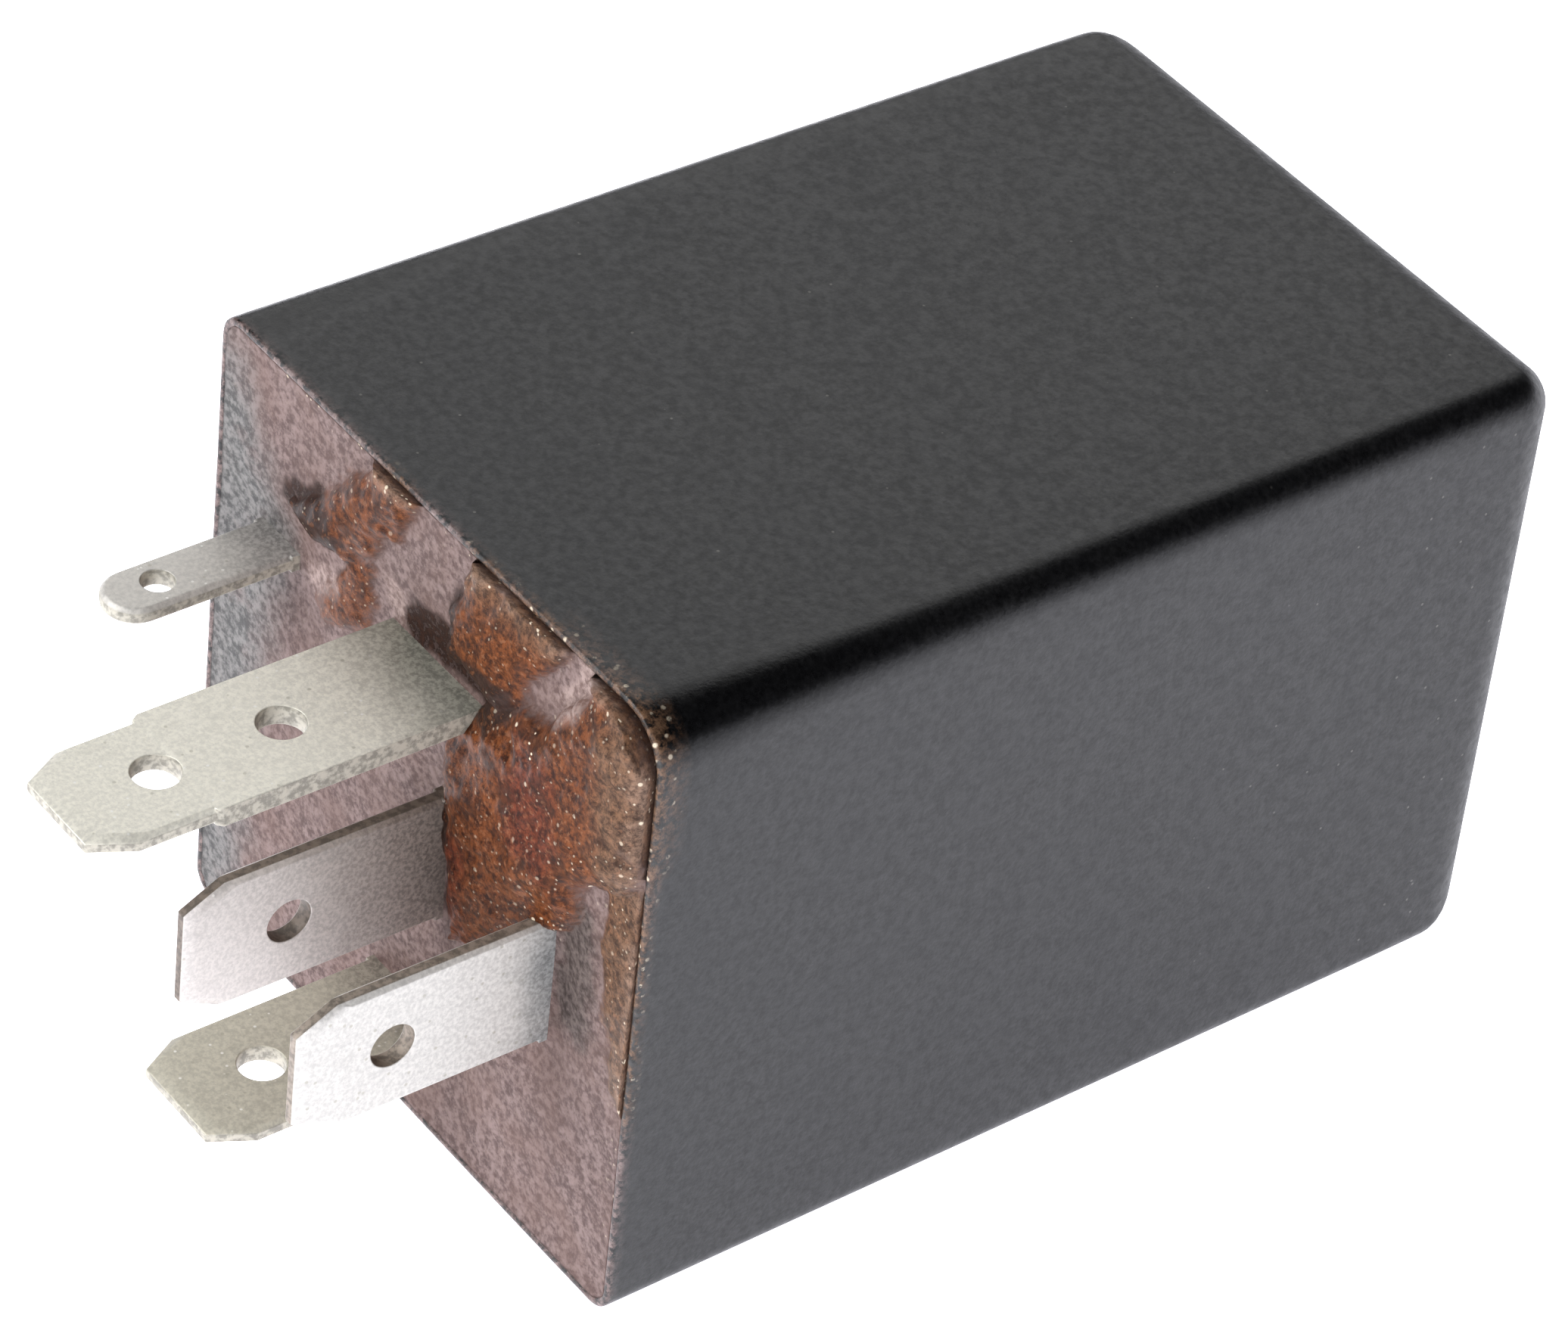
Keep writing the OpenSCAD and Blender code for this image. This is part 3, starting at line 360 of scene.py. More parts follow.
def cover_plastic():
    """Black plastic with a matt grain, smoother along its long edges and darkened there with a painted dark
    reflection, and filmed with resin at the rim.
    """
    s = Shader("cover_plastic")
    grain = s.noise(4.6, 4.0, 0.62)
    cloud = s.noise(0.22, 3.0, 0.5)
    body = s.mix(s.between(grain, 0.37, 0.66), (13, 13, 14), (33, 33, 35))
    body = s.mix(s.between(cloud, 0.3, 0.75, 0.0, 0.5), body, (22, 23, 26))
    body = s.mix(s.times(s.specks(1.7, 0.14, 0.035), 0.3), body, (150, 148, 142))
    wear = s.times(s.stored("wear"), s.between(s.noise(1.6, 4.0, 0.7), 0.42, 0.62))
    body = s.mix(s.times(wear, 0.35), body, (96, 95, 94))
    across = s.math("MINIMUM", s.math("ABSOLUTE", s.axis(0)), s.math("ABSOLUTE", s.axis(2)))
    fade = s.between(s.axis(1), 0.0, 14.0, 2.6, 1.3)
    fade = s.between(s.normal_axis(2), 0.35, 0.85, 0.4, fade)
    polish_and_painted_dark = s.between(s.math("ADD", across, fade), HALF - LONG_EDGE, HALF - LONG_EDGE + 2.2)
    polish_and_painted_dark = s.times(polish_and_painted_dark, s.between(grain, 0.3, 0.7, 1.0, 0.8))
    # painted dark reflection: the colour is darkened along the long edges, where the rounded edges mirror
    # dark surroundings
    body = s.mix(polish_and_painted_dark, body, (7, 7, 8))
    film = s.times(s.stored("film"), s.between(s.noise(2.6, 4.0, 0.7), 0.40, 0.56))
    grit = s.between(s.noise(3.4, 4.0, 0.75), 0.38, 0.62)
    rust = s.stored("rust")
    filmed = s.mix(rust, s.mix(grit, RESIN_DARK, RESIN_LIGHT), s.mix(grit, DUST_DARK, DUST_LIGHT))
    # painted glints on the resin film at the rim
    filmed = s.mix(s.times(s.specks(2.6, 0.34, 0.5), rust), filmed, PAINTED_GLINT)
    s.set("Base Color", s.mix(film, body, filmed))
    matt = s.between(s.noise(2.2, 3.0, 0.6), 0.3, 0.7, 0.42, 0.54)
    s.set("Roughness", s.math("SUBTRACT", matt, s.times(polish_and_painted_dark, 0.2)))
    s.set("Specular IOR Level", s.between(polish_and_painted_dark, 0.0, 1.0, 0.5, 0.3))
    fine = s.bump(grain, 0.022, 0.8)
    s.bump(s.noise(0.9, 3.0, 0.5), 0.012, 0.3, after=fine)
    return s.material


def sealing_resin():
    """Poured resin: gritty mauve-brown, rust-brown where it beaded, and grey towards one edge, with painted
    shadow, painted highlight, painted glints and a painted lighter band along the rim.
    """
    s = Shader("sealing_resin", specular_ior_level=0.12)
    grit = s.noise(3.2, 4.0, 0.62)
    coarse = s.noise(2.6, 5.0, 0.8)
    fleck = s.noise(3.2, 3.0, 0.7)
    cloud = s.noise(0.35, 4.0, 0.6)
    contrast = s.between(grit, 0.34, 0.66)
    dull = s.mix(contrast, RESIN_DARK, RESIN_LIGHT)
    dull = s.mix(s.between(cloud, 0.35, 0.7, 0.0, 0.45), dull, RESIN_WARM)
    ash = s.mix(contrast, (80, 80, 80), (130, 128, 127))
    body = s.mix(s.times(s.stored("grey"), s.between(cloud, 0.25, 0.5, 0.5, 1.0)), dull, ash)
    # painted shadow: the shade zone darkens the resin beside the break blade's root
    body = s.mix(s.stored("shade"), body, s.mix(contrast, (58, 50, 48), (104, 94, 90)))
    grainy = s.between(coarse, 0.35, 0.65)
    rust = s.mix(grainy, RUST_DARK, RUST_LIGHT)
    rust = s.mix(s.stored("deep"), rust, s.mix(grainy, (42, 15, 9), (108, 52, 34)))
    rust = s.mix(s.stored("dusty"), rust, s.mix(grainy, DUST_DARK, DUST_LIGHT))
    rust = s.mix(s.between(fleck, 0.54, 0.68, 0.0, 0.6), rust, (44, 24, 16))
    rust = s.mix(s.between(fleck, 0.44, 0.34, 0.0, 0.4), rust, (148, 102, 74))
    rust = s.mix(s.between(s.noise(0.8, 3.0, 0.6), 0.52, 0.66, 0.0, 0.6), rust, (50, 29, 20))
    # painted light: the rust is lightened along the rim, where the bead's slope turns away from the lamps
    rust = s.mix(s.stored("painted_rim_light"), rust, s.mix(grainy, (78, 60, 50), (158, 130, 112)))
    body = s.mix(s.stored("rust"), body, rust)
    # partly painted highlight: pinkish-white patches where the glossy resin catches the light
    body = s.mix(s.stored("pale"), body, s.mix(contrast, (118, 98, 93), (176, 156, 150)))
    # painted shade: dark brown for the beads' shaded flanks and the shadows along the blade roots
    painted_shadow = s.times(s.stored("dark"), s.between(fleck, 0.36, 0.5, 0.45, 1.0))
    body = s.mix(painted_shadow, body, s.mix(contrast, (14, 9, 8), (58, 38, 31)))
    # painted glints: bright specks in the colour wherever the glint field asks for them
    glints = s.math("ADD", s.specks(2.2, 0.26, 0.26), s.specks(3.4, 0.24, 0.3))
    glints = s.times(glints, s.stored("glint"))
    body = s.mix(glints, body, PAINTED_GLINT)
    s.set("Base Color", body)
    s.set("Roughness", s.between(s.stored("rust"), 0.3, 0.8, 0.62, 0.42))
    fine = s.bump(grit, 0.04, 0.6)
    s.bump(s.noise(1.4, 4.0, 0.6), 0.05, 0.4, after=fine)
    return s.material


# The blades: the axis across the flat, the tint of the face and of the painted root shade, where that painted
# shade begins (y, mm) and the tint of the cut sides. The last two have defaults in tinned(). The side tints
# of ground and break are darker as painted shade.
BLADES = {
    "supply": (2, (232, 229, 217), (138, 137, 126), -3.4),
    "control": (2, (206, 203, 197), (150, 147, 144)),
    "ground": (0, (214, 209, 206), (130, 118, 111), -10.2, (104, 94, 86)),
    "make": (2, (200, 196, 181), (140, 134, 124)),
    "break": (0, (214, 212, 208), (140, 142, 142), -1.2, (138, 128, 118)),
}


def tinned(name, flat_axis, tint, shaded_root_tint, root_y=-2.5, side_tint=(168, 164, 153)):
    """Tin-plated brass strip: a mottled pale face, darker cut sides, and painted shade on the root near the
    resin.
    """
    s = Shader(name, metallic=0.25, specular_ior_level=0.5)
    mottle = s.noise(5.2, 4.0, 0.65)
    streak = s.noise(1.8, 4.0, 0.65, s.stretched((1.0, 0.3, 1.0)))
    face = s.mix(s.between(mottle, 0.33, 0.67), shaded(tint, 0.93), shaded(tint, 1.06))
    face = s.mix(s.between(streak, 0.5, 0.8, 0.0, 0.4), face, shaded(tint, 0.84))
    face = s.mix(s.times(s.specks(2.4, 0.24, 0.12), 0.5), face, (160, 156, 140))
    face = s.mix(s.times(s.specks(2.9, 0.24, 0.16), 0.8), face, (250, 249, 244))
    # painted shade: the root near the resin is darkened where the cover shades it
    painted_root_shade = s.mix(s.between(mottle, 0.36, 0.64), shaded(shaded_root_tint, 0.86), shaded(shaded_root_tint, 1.16))
    root = s.between(s.math("ADD", s.axis(1), s.times(s.noise(0.6), 2.0)), root_y, 1.8)
    face = s.mix(root, face, painted_root_shade)
    cut = s.between(s.noise(3.4, 3.0, 0.6), 0.36, 0.62)
    side = s.mix(cut, shaded(side_tint, 0.84), shaded(side_tint, 1.14))
    flat = s.between(s.normal_axis(flat_axis), 0.35, 0.75)
    s.set("Base Color", s.mix(flat, side, face))
    s.set("Roughness", s.between(mottle, 0.3, 0.7, 0.40, 0.58))
    scratch = s.noise(7.0, 2.0, 0.5, s.stretched((1.0, 0.06, 1.0)))
    fine = s.bump(scratch, 0.010, 0.6)
    s.bump(s.noise(0.9, 4.0, 0.6), 0.04, 0.4, after=fine)
    return s.material


def plated_metal(name, colour, roughness, grain_axis=1, grain=0.012, stain=(96, 86, 66)):
    """Rolled or turned metal with grain along one axis and faint cloudy stains."""
    s = Shader(name, metallic=1.0)
    stretch = [1.0, 1.0, 1.0]
    stretch[grain_axis] = 0.08
    lines = s.noise(9.0, 3.0, 0.6, s.stretched(tuple(stretch)))
    cloud = s.noise(0.45, 4.0, 0.6)
    face = s.mix(s.between(cloud, 0.35, 0.7), shaded(colour, 0.86), colour)
    face = s.mix(s.between(s.noise(1.5, 5.0, 0.7), 0.6, 0.78, 0.0, 0.4), face, stain)
    s.set("Base Color", face)
    s.set("Roughness", s.between(lines, 0.3, 0.7, roughness - 0.07, roughness + 0.12))
    s.bump(lines, grain, 0.8)
    return s.material


def moulded(name, dark, light, roughness, grain_scale, grain, coat=0.0):
    """Moulded or pressed plastic with fine grain and faint cloudy shade."""
    s = Shader(name, coat_weight=coat)
    fine = s.noise(grain_scale, 4.0, 0.6)
    cloud = s.noise(0.3, 3.0, 0.5)
    shade = s.math("ADD", s.times(fine, 0.6), s.times(cloud, 0.4))
    s.set("Base Color", s.mix(s.between(shade, 0.35, 0.65), dark, light))
    s.set("Roughness", s.between(cloud, 0.3, 0.7, roughness - 0.06, roughness + 0.08))
    s.bump(fine, grain, 0.7)
    return s.material


def enamelled_copper():
    """Lacquered winding wire: deep copper with a clear glossy coat that varies from turn to turn."""
    s = Shader("enamelled_copper", metallic=0.85, coat_weight=0.7, coat_roughness=0.08)
    turn = s.noise(2.4, 2.0, 0.5, s.stretched((0.15, 1.0, 0.15)))
    s.set("Base Color", s.mix(s.between(turn, 0.3, 0.7), (134, 60, 30), (196, 104, 58)))
    s.set("Roughness", s.between(s.noise(3.0), 0.3, 0.7, 0.22, 0.38))
    return s.material


def board_laminate():
    """Green solder resist with the weave of the glass showing through, and straw-coloured bare edges."""
    s = Shader("board_laminate", coat_weight=0.35, coat_roughness=0.2)
    warp = s.math("SINE", s.times(s.axis(0), 9.0))
    weft = s.math("SINE", s.times(s.axis(1), 9.0))
    weave = s.times(warp, weft)
    green = s.mix(s.between(weave, -0.8, 0.8), (22, 74, 40), (34, 98, 54))
    green = s.mix(s.between(s.noise(0.3, 4.0), 0.35, 0.7, 0.0, 0.5), green, (18, 60, 36))
    edge = s.between(s.normal_axis(2), 0.7, 0.4)
    straw = s.mix(s.between(s.noise(4.0), 0.3, 0.7), (150, 138, 88), (190, 178, 120))
    s.set("Base Color", s.mix(edge, green, straw))
    s.set("Roughness", s.between(edge, 0.0, 1.0, 0.32, 0.75))
    s.bump(weave, 0.006, 0.6)
    return s.material


def banded(name, node, axis, body, bands, roughness=0.3, coat=0.5):
    """Lacquered node with rings round an axis. bands: (place from -1 to 1 along it, half width, colour)."""
    low, high = box_mm(node)
    centre, half_length = (low[axis] + high[axis]) / 2, (high[axis] - low[axis]) / 2
    s = Shader(name, coat_weight=coat, coat_roughness=0.12)
    place = s.math("DIVIDE", s.math("SUBTRACT", s.axis(axis), centre), half_length)
    shade = s.noise(1.6, 4.0, 0.6)
    face = s.mix(s.between(shade, 0.3, 0.7), shaded(body, 0.86), body)
    for at, width, colour in bands:
        off = s.math("ABSOLUTE", s.math("SUBTRACT", place, at))
        face = s.mix(s.between(off, width * 1.08, width * 0.92), face, colour)
    s.set("Base Color", face)
    s.set("Roughness", s.between(shade, 0.3, 0.7, roughness - 0.06, roughness + 0.1))
    s.bump(s.noise(2.2, 3.0), 0.02, 0.5)
    return s.material


def capacitor_sleeve():
    """Blue shrunk sleeve with a pale stripe down one side, over a can whose top is bare aluminium."""
    low, high = box_mm("electrolytic_capacitor")
    centre = (low + high) / 2
    radius = (high.x - low.x) / 2
    s = Shader("capacitor_sleeve", coat_weight=0.4, coat_roughness=0.15)
    x = s.math("SUBTRACT", s.axis(0), centre.x)
    y = s.math("SUBTRACT", s.axis(1), centre.y)
    out = s.math("SQRT", s.math("ADD", s.times(x, x), s.times(y, y)))
    on_top = s.times(s.between(s.axis(2), high.z - 0.3, high.z - 0.1),
                     s.between(out, radius - 0.45, radius - 0.65))
    blue = s.mix(s.between(s.noise(1.2, 4.0), 0.3, 0.7), (20, 34, 70), (32, 52, 100))
    on_side = s.between(out, radius - 0.4, radius - 0.1)
    stripe = s.times(s.between(x, radius * 0.80, radius * 0.84), on_side)
    blue = s.mix(stripe, blue, (176, 184, 192))
    lines = s.noise(8.0, 3.0, 0.6, s.stretched((1.0, 0.1, 1.0)))
    bare = s.mix(s.between(lines, 0.3, 0.7), (150, 152, 154), (205, 206, 208))
    s.set("Base Color", s.mix(on_top, blue, bare))
    s.set("Metallic", on_top)
    s.set("Roughness", s.between(s.noise(2.0), 0.3, 0.7, 0.28, 0.42))
    s.bump(s.noise(1.8, 4.0), 0.02, 0.5)
    return s.material


def floor_paint():
    """Plain pale studio sheet: it glows a little, so that it stays pale under the part."""
    s = Shader("floor_paint", roughness=0.9, specular_ior_level=0.1)
    shade = s.noise(0.02, 2.0)
    s.set("Base Color", s.mix(s.between(shade, 0.3, 0.7), (236, 236, 236), (241, 241, 241)))
    s.set("Emission Color", (0.97, 0.97, 1.05, 1.0))
    s.set("Emission Strength", 1.45)
    return s.material


# -------- cover

def cover_rings():
    """Rings (y, half width, corner radius, wear), from inside the closed end over the rim to outside it."""
    inner, outer = HALF - WALL, HALF
    inner_end, outer_end = LENGTH - WALL, LENGTH
    inner_round = END_EDGE - WALL
    rings = []
    flat = inner - DRAFT - inner_round
    for share in (0.12, 0.35, 0.6, 0.82, 1.0):
        rings.append((inner_end, flat * share, 0.5 * share, 0.0))
    for step in range(1, 7):
        a = step / 6 * math.pi / 2
        y = inner_end - inner_round * (1 - math.cos(a))
        rings.append((y, flat + inner_round * math.sin(a), 0.55, 0.0))
    for share in (0.75, 0.5, 0.25):
        rings.append((LENGTH * share, inner - DRAFT * share, 0.6, 0.0))
    rings.append((2.0, inner, 0.6, 0.0))
    rings.append((LEAD_IN_DEPTH, inner, 0.6, 0.1))
    for y, half, wear in ((0.08, MOUTH_HALF - 0.05, 0.8), (0.02, MOUTH_HALF - 0.01, 1.0),
                          (0.0, MOUTH_HALF + 0.06, 1.0), (0.0, outer - 0.17, 1.0), (0.02, outer - 0.07, 1.0),
                          (0.08, outer - 0.015, 0.9), (0.22, outer - 0.002, 0.5), (0.6, outer - 0.004, 0.15),
                          (RIM, outer - 0.01, 0.0)):
        rings.append((y, half, LONG_EDGE - (outer - half) * 0.6, wear))
    rows = 16
    for row in range(1, rows):
        share = row / rows
        y = RIM + (LENGTH - END_EDGE - RIM) * share
        rings.append((y, outer - DRAFT * y / LENGTH, LONG_EDGE, 0.0))
    top = outer - DRAFT - END_EDGE
    steps = 10
    for step in range(steps + 1):
        a = step / steps * math.pi / 2
        y = outer_end - END_EDGE * (1 - math.sin(a))
        rings.append((y, top + END_EDGE * math.cos(a), LONG_EDGE, 0.35 * math.sin(2 * a)))
    for share in (0.9, 0.7, 0.45, 0.2):
        rings.append((outer_end, top * share, LONG_EDGE * share, 0.0))
    return rings


def build_cover(material):
    """The cover's skin, with slightly sunk sides, a worn rim and a film of resin on it."""
    rings, wear, film = [], [], []
    for y, half, radius, worn in cover_rings():
        ring = []
        soft = SOFT_EDGE + (SOFT_CORNER - SOFT_EDGE) * math.exp(-y / SOFT_FADE)
        inside = half < HALF - WALL + 0.01
        outside = half > HALF - WALL / 2
        for x, z in rounded_square(half, radius, radius if inside else soft * radius / LONG_EDGE):
            place = Vector((x, y, z))
            across = min(abs(x), abs(z)) / half
            sink = 0.0
            if outside and 1.0 < y < LENGTH - END_EDGE:
                sink = SINK * max(0.0, 1 - across * across) * math.sin(math.pi * y / LENGTH)
            if worn > 0.7:
                sink += 0.035 * abs(noise.noise(place * 1.7))
            pull = 1 - sink / half
            chip = 0.03 * abs(noise.noise(place * 2.3)) if worn > 0.9 else 0.0
            ring.append((x * pull, y + chip, z * pull))
            rubbed = 0.45 * float(smooth_step((across - 0.93) / 0.05)) if outside else 0
            wear.append(max(worn, rubbed))
            near_corner = float(smooth_step((x + z - 19) / 8))
            reach = 2.0 if half < MOUTH_HALF else 0.3 + 0.9 * near_corner
            film.append(max(0.0, 1 - y / reach))
        rings.append(ring)
    points, faces = loft(rings)
    resin_reach = 14.6  # the rust of the rim is that of the resin this far out
    x, z = (np.clip([p[i] for p in points], -resin_reach, resin_reach) for i in (0, 2))
    _, fields = resin_fields(x, z)
    obj = add_piece("cover_shell_skin", points, faces, material, "cover_shell")
    add_values(obj, "wear", wear + [0.0, 0.0])
    add_values(obj, "film", film + [0.0, 0.0])
    add_values(obj, "rust", fields["rust"])
    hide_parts("cover")


# -------- resin

# Outlines of the beads in the plane of the mouth, (x, z) in mm, and how far each stands proud.
BEADS = [
    (0.75, [(-9.6, 9.0), (-7.4, 10.8), (-6.6, 12.0), (-6.0, 13.0), (-4.8, 14.0), (-4.0, 15.0), (-0.8, 15.0),
            (-1.2, 13.6), (-2.4, 12.0), (-3.8, 10.6), (-4.8, 9.6), (-5.2, 8.6), (-7.6, 8.4)]),
    (0.30, [(-6.0, 9.8), (-4.1, 9.2), (-3.7, 7.6), (-4.4, 6.2), (-5.8, 5.0), (-7.4, 4.2), (-7.8, 5.2),
            (-6.6, 6.8), (-6.0, 8.2)]),
    (0.80, [(1.3, 9.0), (1.4, 10.6), (1.9, 12.6), (2.9, 14.9), (9.2, 15.0), (8.9, 13.8), (7.8, 12.6),
            (6.8, 11.6), (6.2, 10.2), (5.2, 8.9)]),
    (1.20, [(10.9, 15.2), (15.2, 15.2), (15.2, 9.6), (14.4, 7.0), (12.6, 5.6), (11.2, 4.4), (10.6, 2.6),
            (7.8, -0.6), (5.2, -3.2), (3.0, -4.2), (2.5, -2.0), (2.1, 0.6), (1.9, 2.8), (1.7, 5.0),
            (2.8, 7.2), (4.2, 8.8), (5.8, 9.4), (7.0, 10.2), (8.6, 11.4), (10.0, 12.6)]),
    (0.22, [(12.0, 6.6), (15.2, 7.0), (15.2, -5.0), (14.2, -4.4), (12.9, -1.0)]),
]
# Zones of colour: each has outlines, how wide its border fades in mm, and its strength.
ZONES = {
    # painted shade: the beads' shaded flanks and the shadows along the blade roots
    "dark": ([[(-10.4, 8.7), (-9.8, 10.2), (-7.8, 10.8), (-6.2, 10.8), (-5.4, 9.8), (-5.8, 8.5), (-8.0, 8.1)],
              [(-2.1, 8.4), (-1.4, 10.1), (0.0, 10.4), (1.6, 10.4), (5.8, 10.4), (6.0, 9.0), (5.0, 7.8),
               (-1.4, 7.8)],
              [(1.2, 10.0), (1.5, 12.6), (2.1, 12.6), (2.2, 10.0)],
              [(1.9, 2.4), (2.8, 2.4), (3.4, -3.4), (2.2, -4.2)]], 0.5, 1.0),
    # partly painted highlight, where the glossy resin catches the light
    "pale": ([[(9.6, 15.2), (11.2, 15.2), (10.6, 13.2), (9.4, 12.0), (8.2, 11.4), (8.6, 12.6), (9.4, 13.8)],
              [(-3.5, 7.9), (-3.1, 9.8), (-2.0, 9.8), (-1.9, 7.9)],
              [(-9.2, 6.4), (-6.8, 7.6), (-6.1, 7.0), (-8.4, 5.6)]], 0.8, 0.7),
    # painted shadow on the resin right of the break blade's root
    "shade": ([[(9.4, 3.4), (11.8, 3.8), (12.2, 0.0), (11.6, -3.2), (9.4, -3.8)]], 1.2, 0.9),
    "deep": ([[(7.0, 9.4), (9.4, 9.8), (10.4, 6.4), (9.8, 4.4), (7.6, 4.4), (6.6, 7.0)],
              [(2.4, 2.0), (4.4, 2.0), (4.8, -3.0), (2.8, -3.8)]], 1.8, 0.9),
    "dusty": ([[(12.4, 15.5), (15.5, 15.5), (15.5, -5.0), (12.8, -5.0), (12.2, 5.0), (12.8, 9.0),
                (12.2, 13.0)],
               [(2.4, 13.8), (9.4, 13.8), (9.6, 15.5), (2.4, 15.5)]], 2.2, 0.9),
    "grey": ([[(-16.0, 14.2), (-13.2, 12.8), (-11.4, 8.6), (-9.8, 6.4), (-10.6, 3.0), (-11.8, -4.0),
               (-12.2, -16.0), (-16.0, -16.0)]], 3.4, 1.0),
}
# Where painted glints gather, besides the rust and the rim next to it: (x, z, spread).
PAINTED_GLINT_SPOTS = ((7.6, 9.5, 1.3), (13.2, 6.4, 1.0), (11.4, 5.4, 0.9), (-5.6, 9.2, 0.8), (9.0, 1.4, 0.8))


def inside_distance(outline, x, z):
    """Distance from each point to a closed outline, positive inside it."""
    corners = np.array(outline)
    nearest = np.full(x.shape, 1e9)
    inside = np.zeros(x.shape, bool)
    for (ax, az), (bx, bz) in zip(corners, np.roll(corners, -1, axis=0)):
        ux, uz = bx - ax, bz - az
        t = np.clip(((x - ax) * ux + (z - az) * uz) / (ux * ux + uz * uz), 0, 1)
        nearest = np.minimum(nearest, np.hypot(x - ax - t * ux, z - az - t * uz))
        crosses = (az > z) != (bz > z)
        with np.errstate(divide="ignore", invalid="ignore"):
            inside ^= crosses & (x < ax + (z - az) * ux / uz)
    return np.where(inside, nearest, -nearest)


def sampled_noise(x, z, scale, seed, octaves=3):
    """Fractal noise at each point, from about -1 to 1."""
    flat = [
        noise.fractal(Vector((px * scale, seed, pz * scale)), 0.6, 2.1, octaves)
        for px, pz in zip(x.ravel(), z.ravel())
    ]
    return np.array(flat).reshape(x.shape)


def blade_sections():
    """(x, z, half width, half height) of each blade where it passes the resin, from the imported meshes."""
    sections = []
    for name in BLADES:
        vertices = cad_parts[f"{name}_terminal"].data.vertices
        blade = [v.co / MM for v in vertices if v.co.y / MM < 0.2]
        near = [p for p in blade if p.y > -1.2] or blade
        xs, zs = [p.x for p in near], [p.z for p in near]
        sections.append(((min(xs) + max(xs)) / 2, (min(zs) + max(zs)) / 2,
                         (max(xs) - min(xs)) / 2, (max(zs) - min(zs)) / 2))
    return sections


def resin_fields(x, z):
    """How far the resin stands proud of its level, and the strengths of its colour zones, at each point."""
    wobble = 0.45 * sampled_noise(x, z, 0.55, 3.1)
    lumps = sampled_noise(x, z, 0.7, 8.4)
    grit = sampled_noise(x, z, 3.2, 1.7, 2)
    proud = 0.07 * sampled_noise(x, z, 0.16, 5.2) + 0.022 * grit
    rust = np.zeros(x.shape)
    for height, outline in BEADS:
        depth = inside_distance(outline, x, z) + wobble
        slope = min(2.4, 1.2 + height)
        rise = np.sqrt(1 - (1 - np.clip(depth / slope, 0, 1)) ** 2)
        body = height * rise * (1 + 0.12 * lumps) + 0.03 * grit * (depth > 0)
        proud = np.maximum(proud, body)
        rust = np.maximum(rust, smooth_step(depth / 0.6 + 0.4))
    for cx, cz, half_x, half_z in blade_sections():
        away = np.hypot(np.maximum(np.abs(x - cx) - half_x, 0), np.maximum(np.abs(z - cz) - half_z, 0))
        proud = proud + 0.12 * np.exp(-away / 0.25) - 0.35 * np.exp(-((away / 1.8) ** 2))
    edge = MOUTH_HALF - np.maximum(np.abs(x), np.abs(z))
    beside = np.clip(edge / 1.5, 0, 1)
    proud = np.minimum(proud, 0.03 + 1.4 * np.sqrt(1 - (1 - beside) ** 2)) + 0.10 * np.exp(-beside * 3)
    fields = {"rust": rust}
    for zone, (outlines, fade, strength) in ZONES.items():
        depth = np.max([inside_distance(outline, x, z) for outline in outlines], axis=0) + wobble
        fields[zone] = strength * smooth_step(depth / fade + 0.5)
    edge = np.clip(edge, 0, None)
    # strength of the painted glints: on the rust, along the rim and around the listed spots
    glint = 0.03 + 0.22 * rust + 0.9 * np.exp(-edge / 0.35) * (x + z > 3)
    for cx, cz, spread in PAINTED_GLINT_SPOTS:
        glint = glint + 0.8 * np.exp(-(((x - cx) ** 2 + (z - cz) ** 2) / spread ** 2))
    fields["glint"] = np.clip(glint, 0, 1)
    # painted light along the rim, to lift the bead's slope that turns away from the lamps
    fields["painted_rim_light"] = rust * np.exp(-((edge / 0.55) ** 2)) * np.clip(0.5 + 0.7 * lumps, 0.1, 0.8)
    return proud, fields


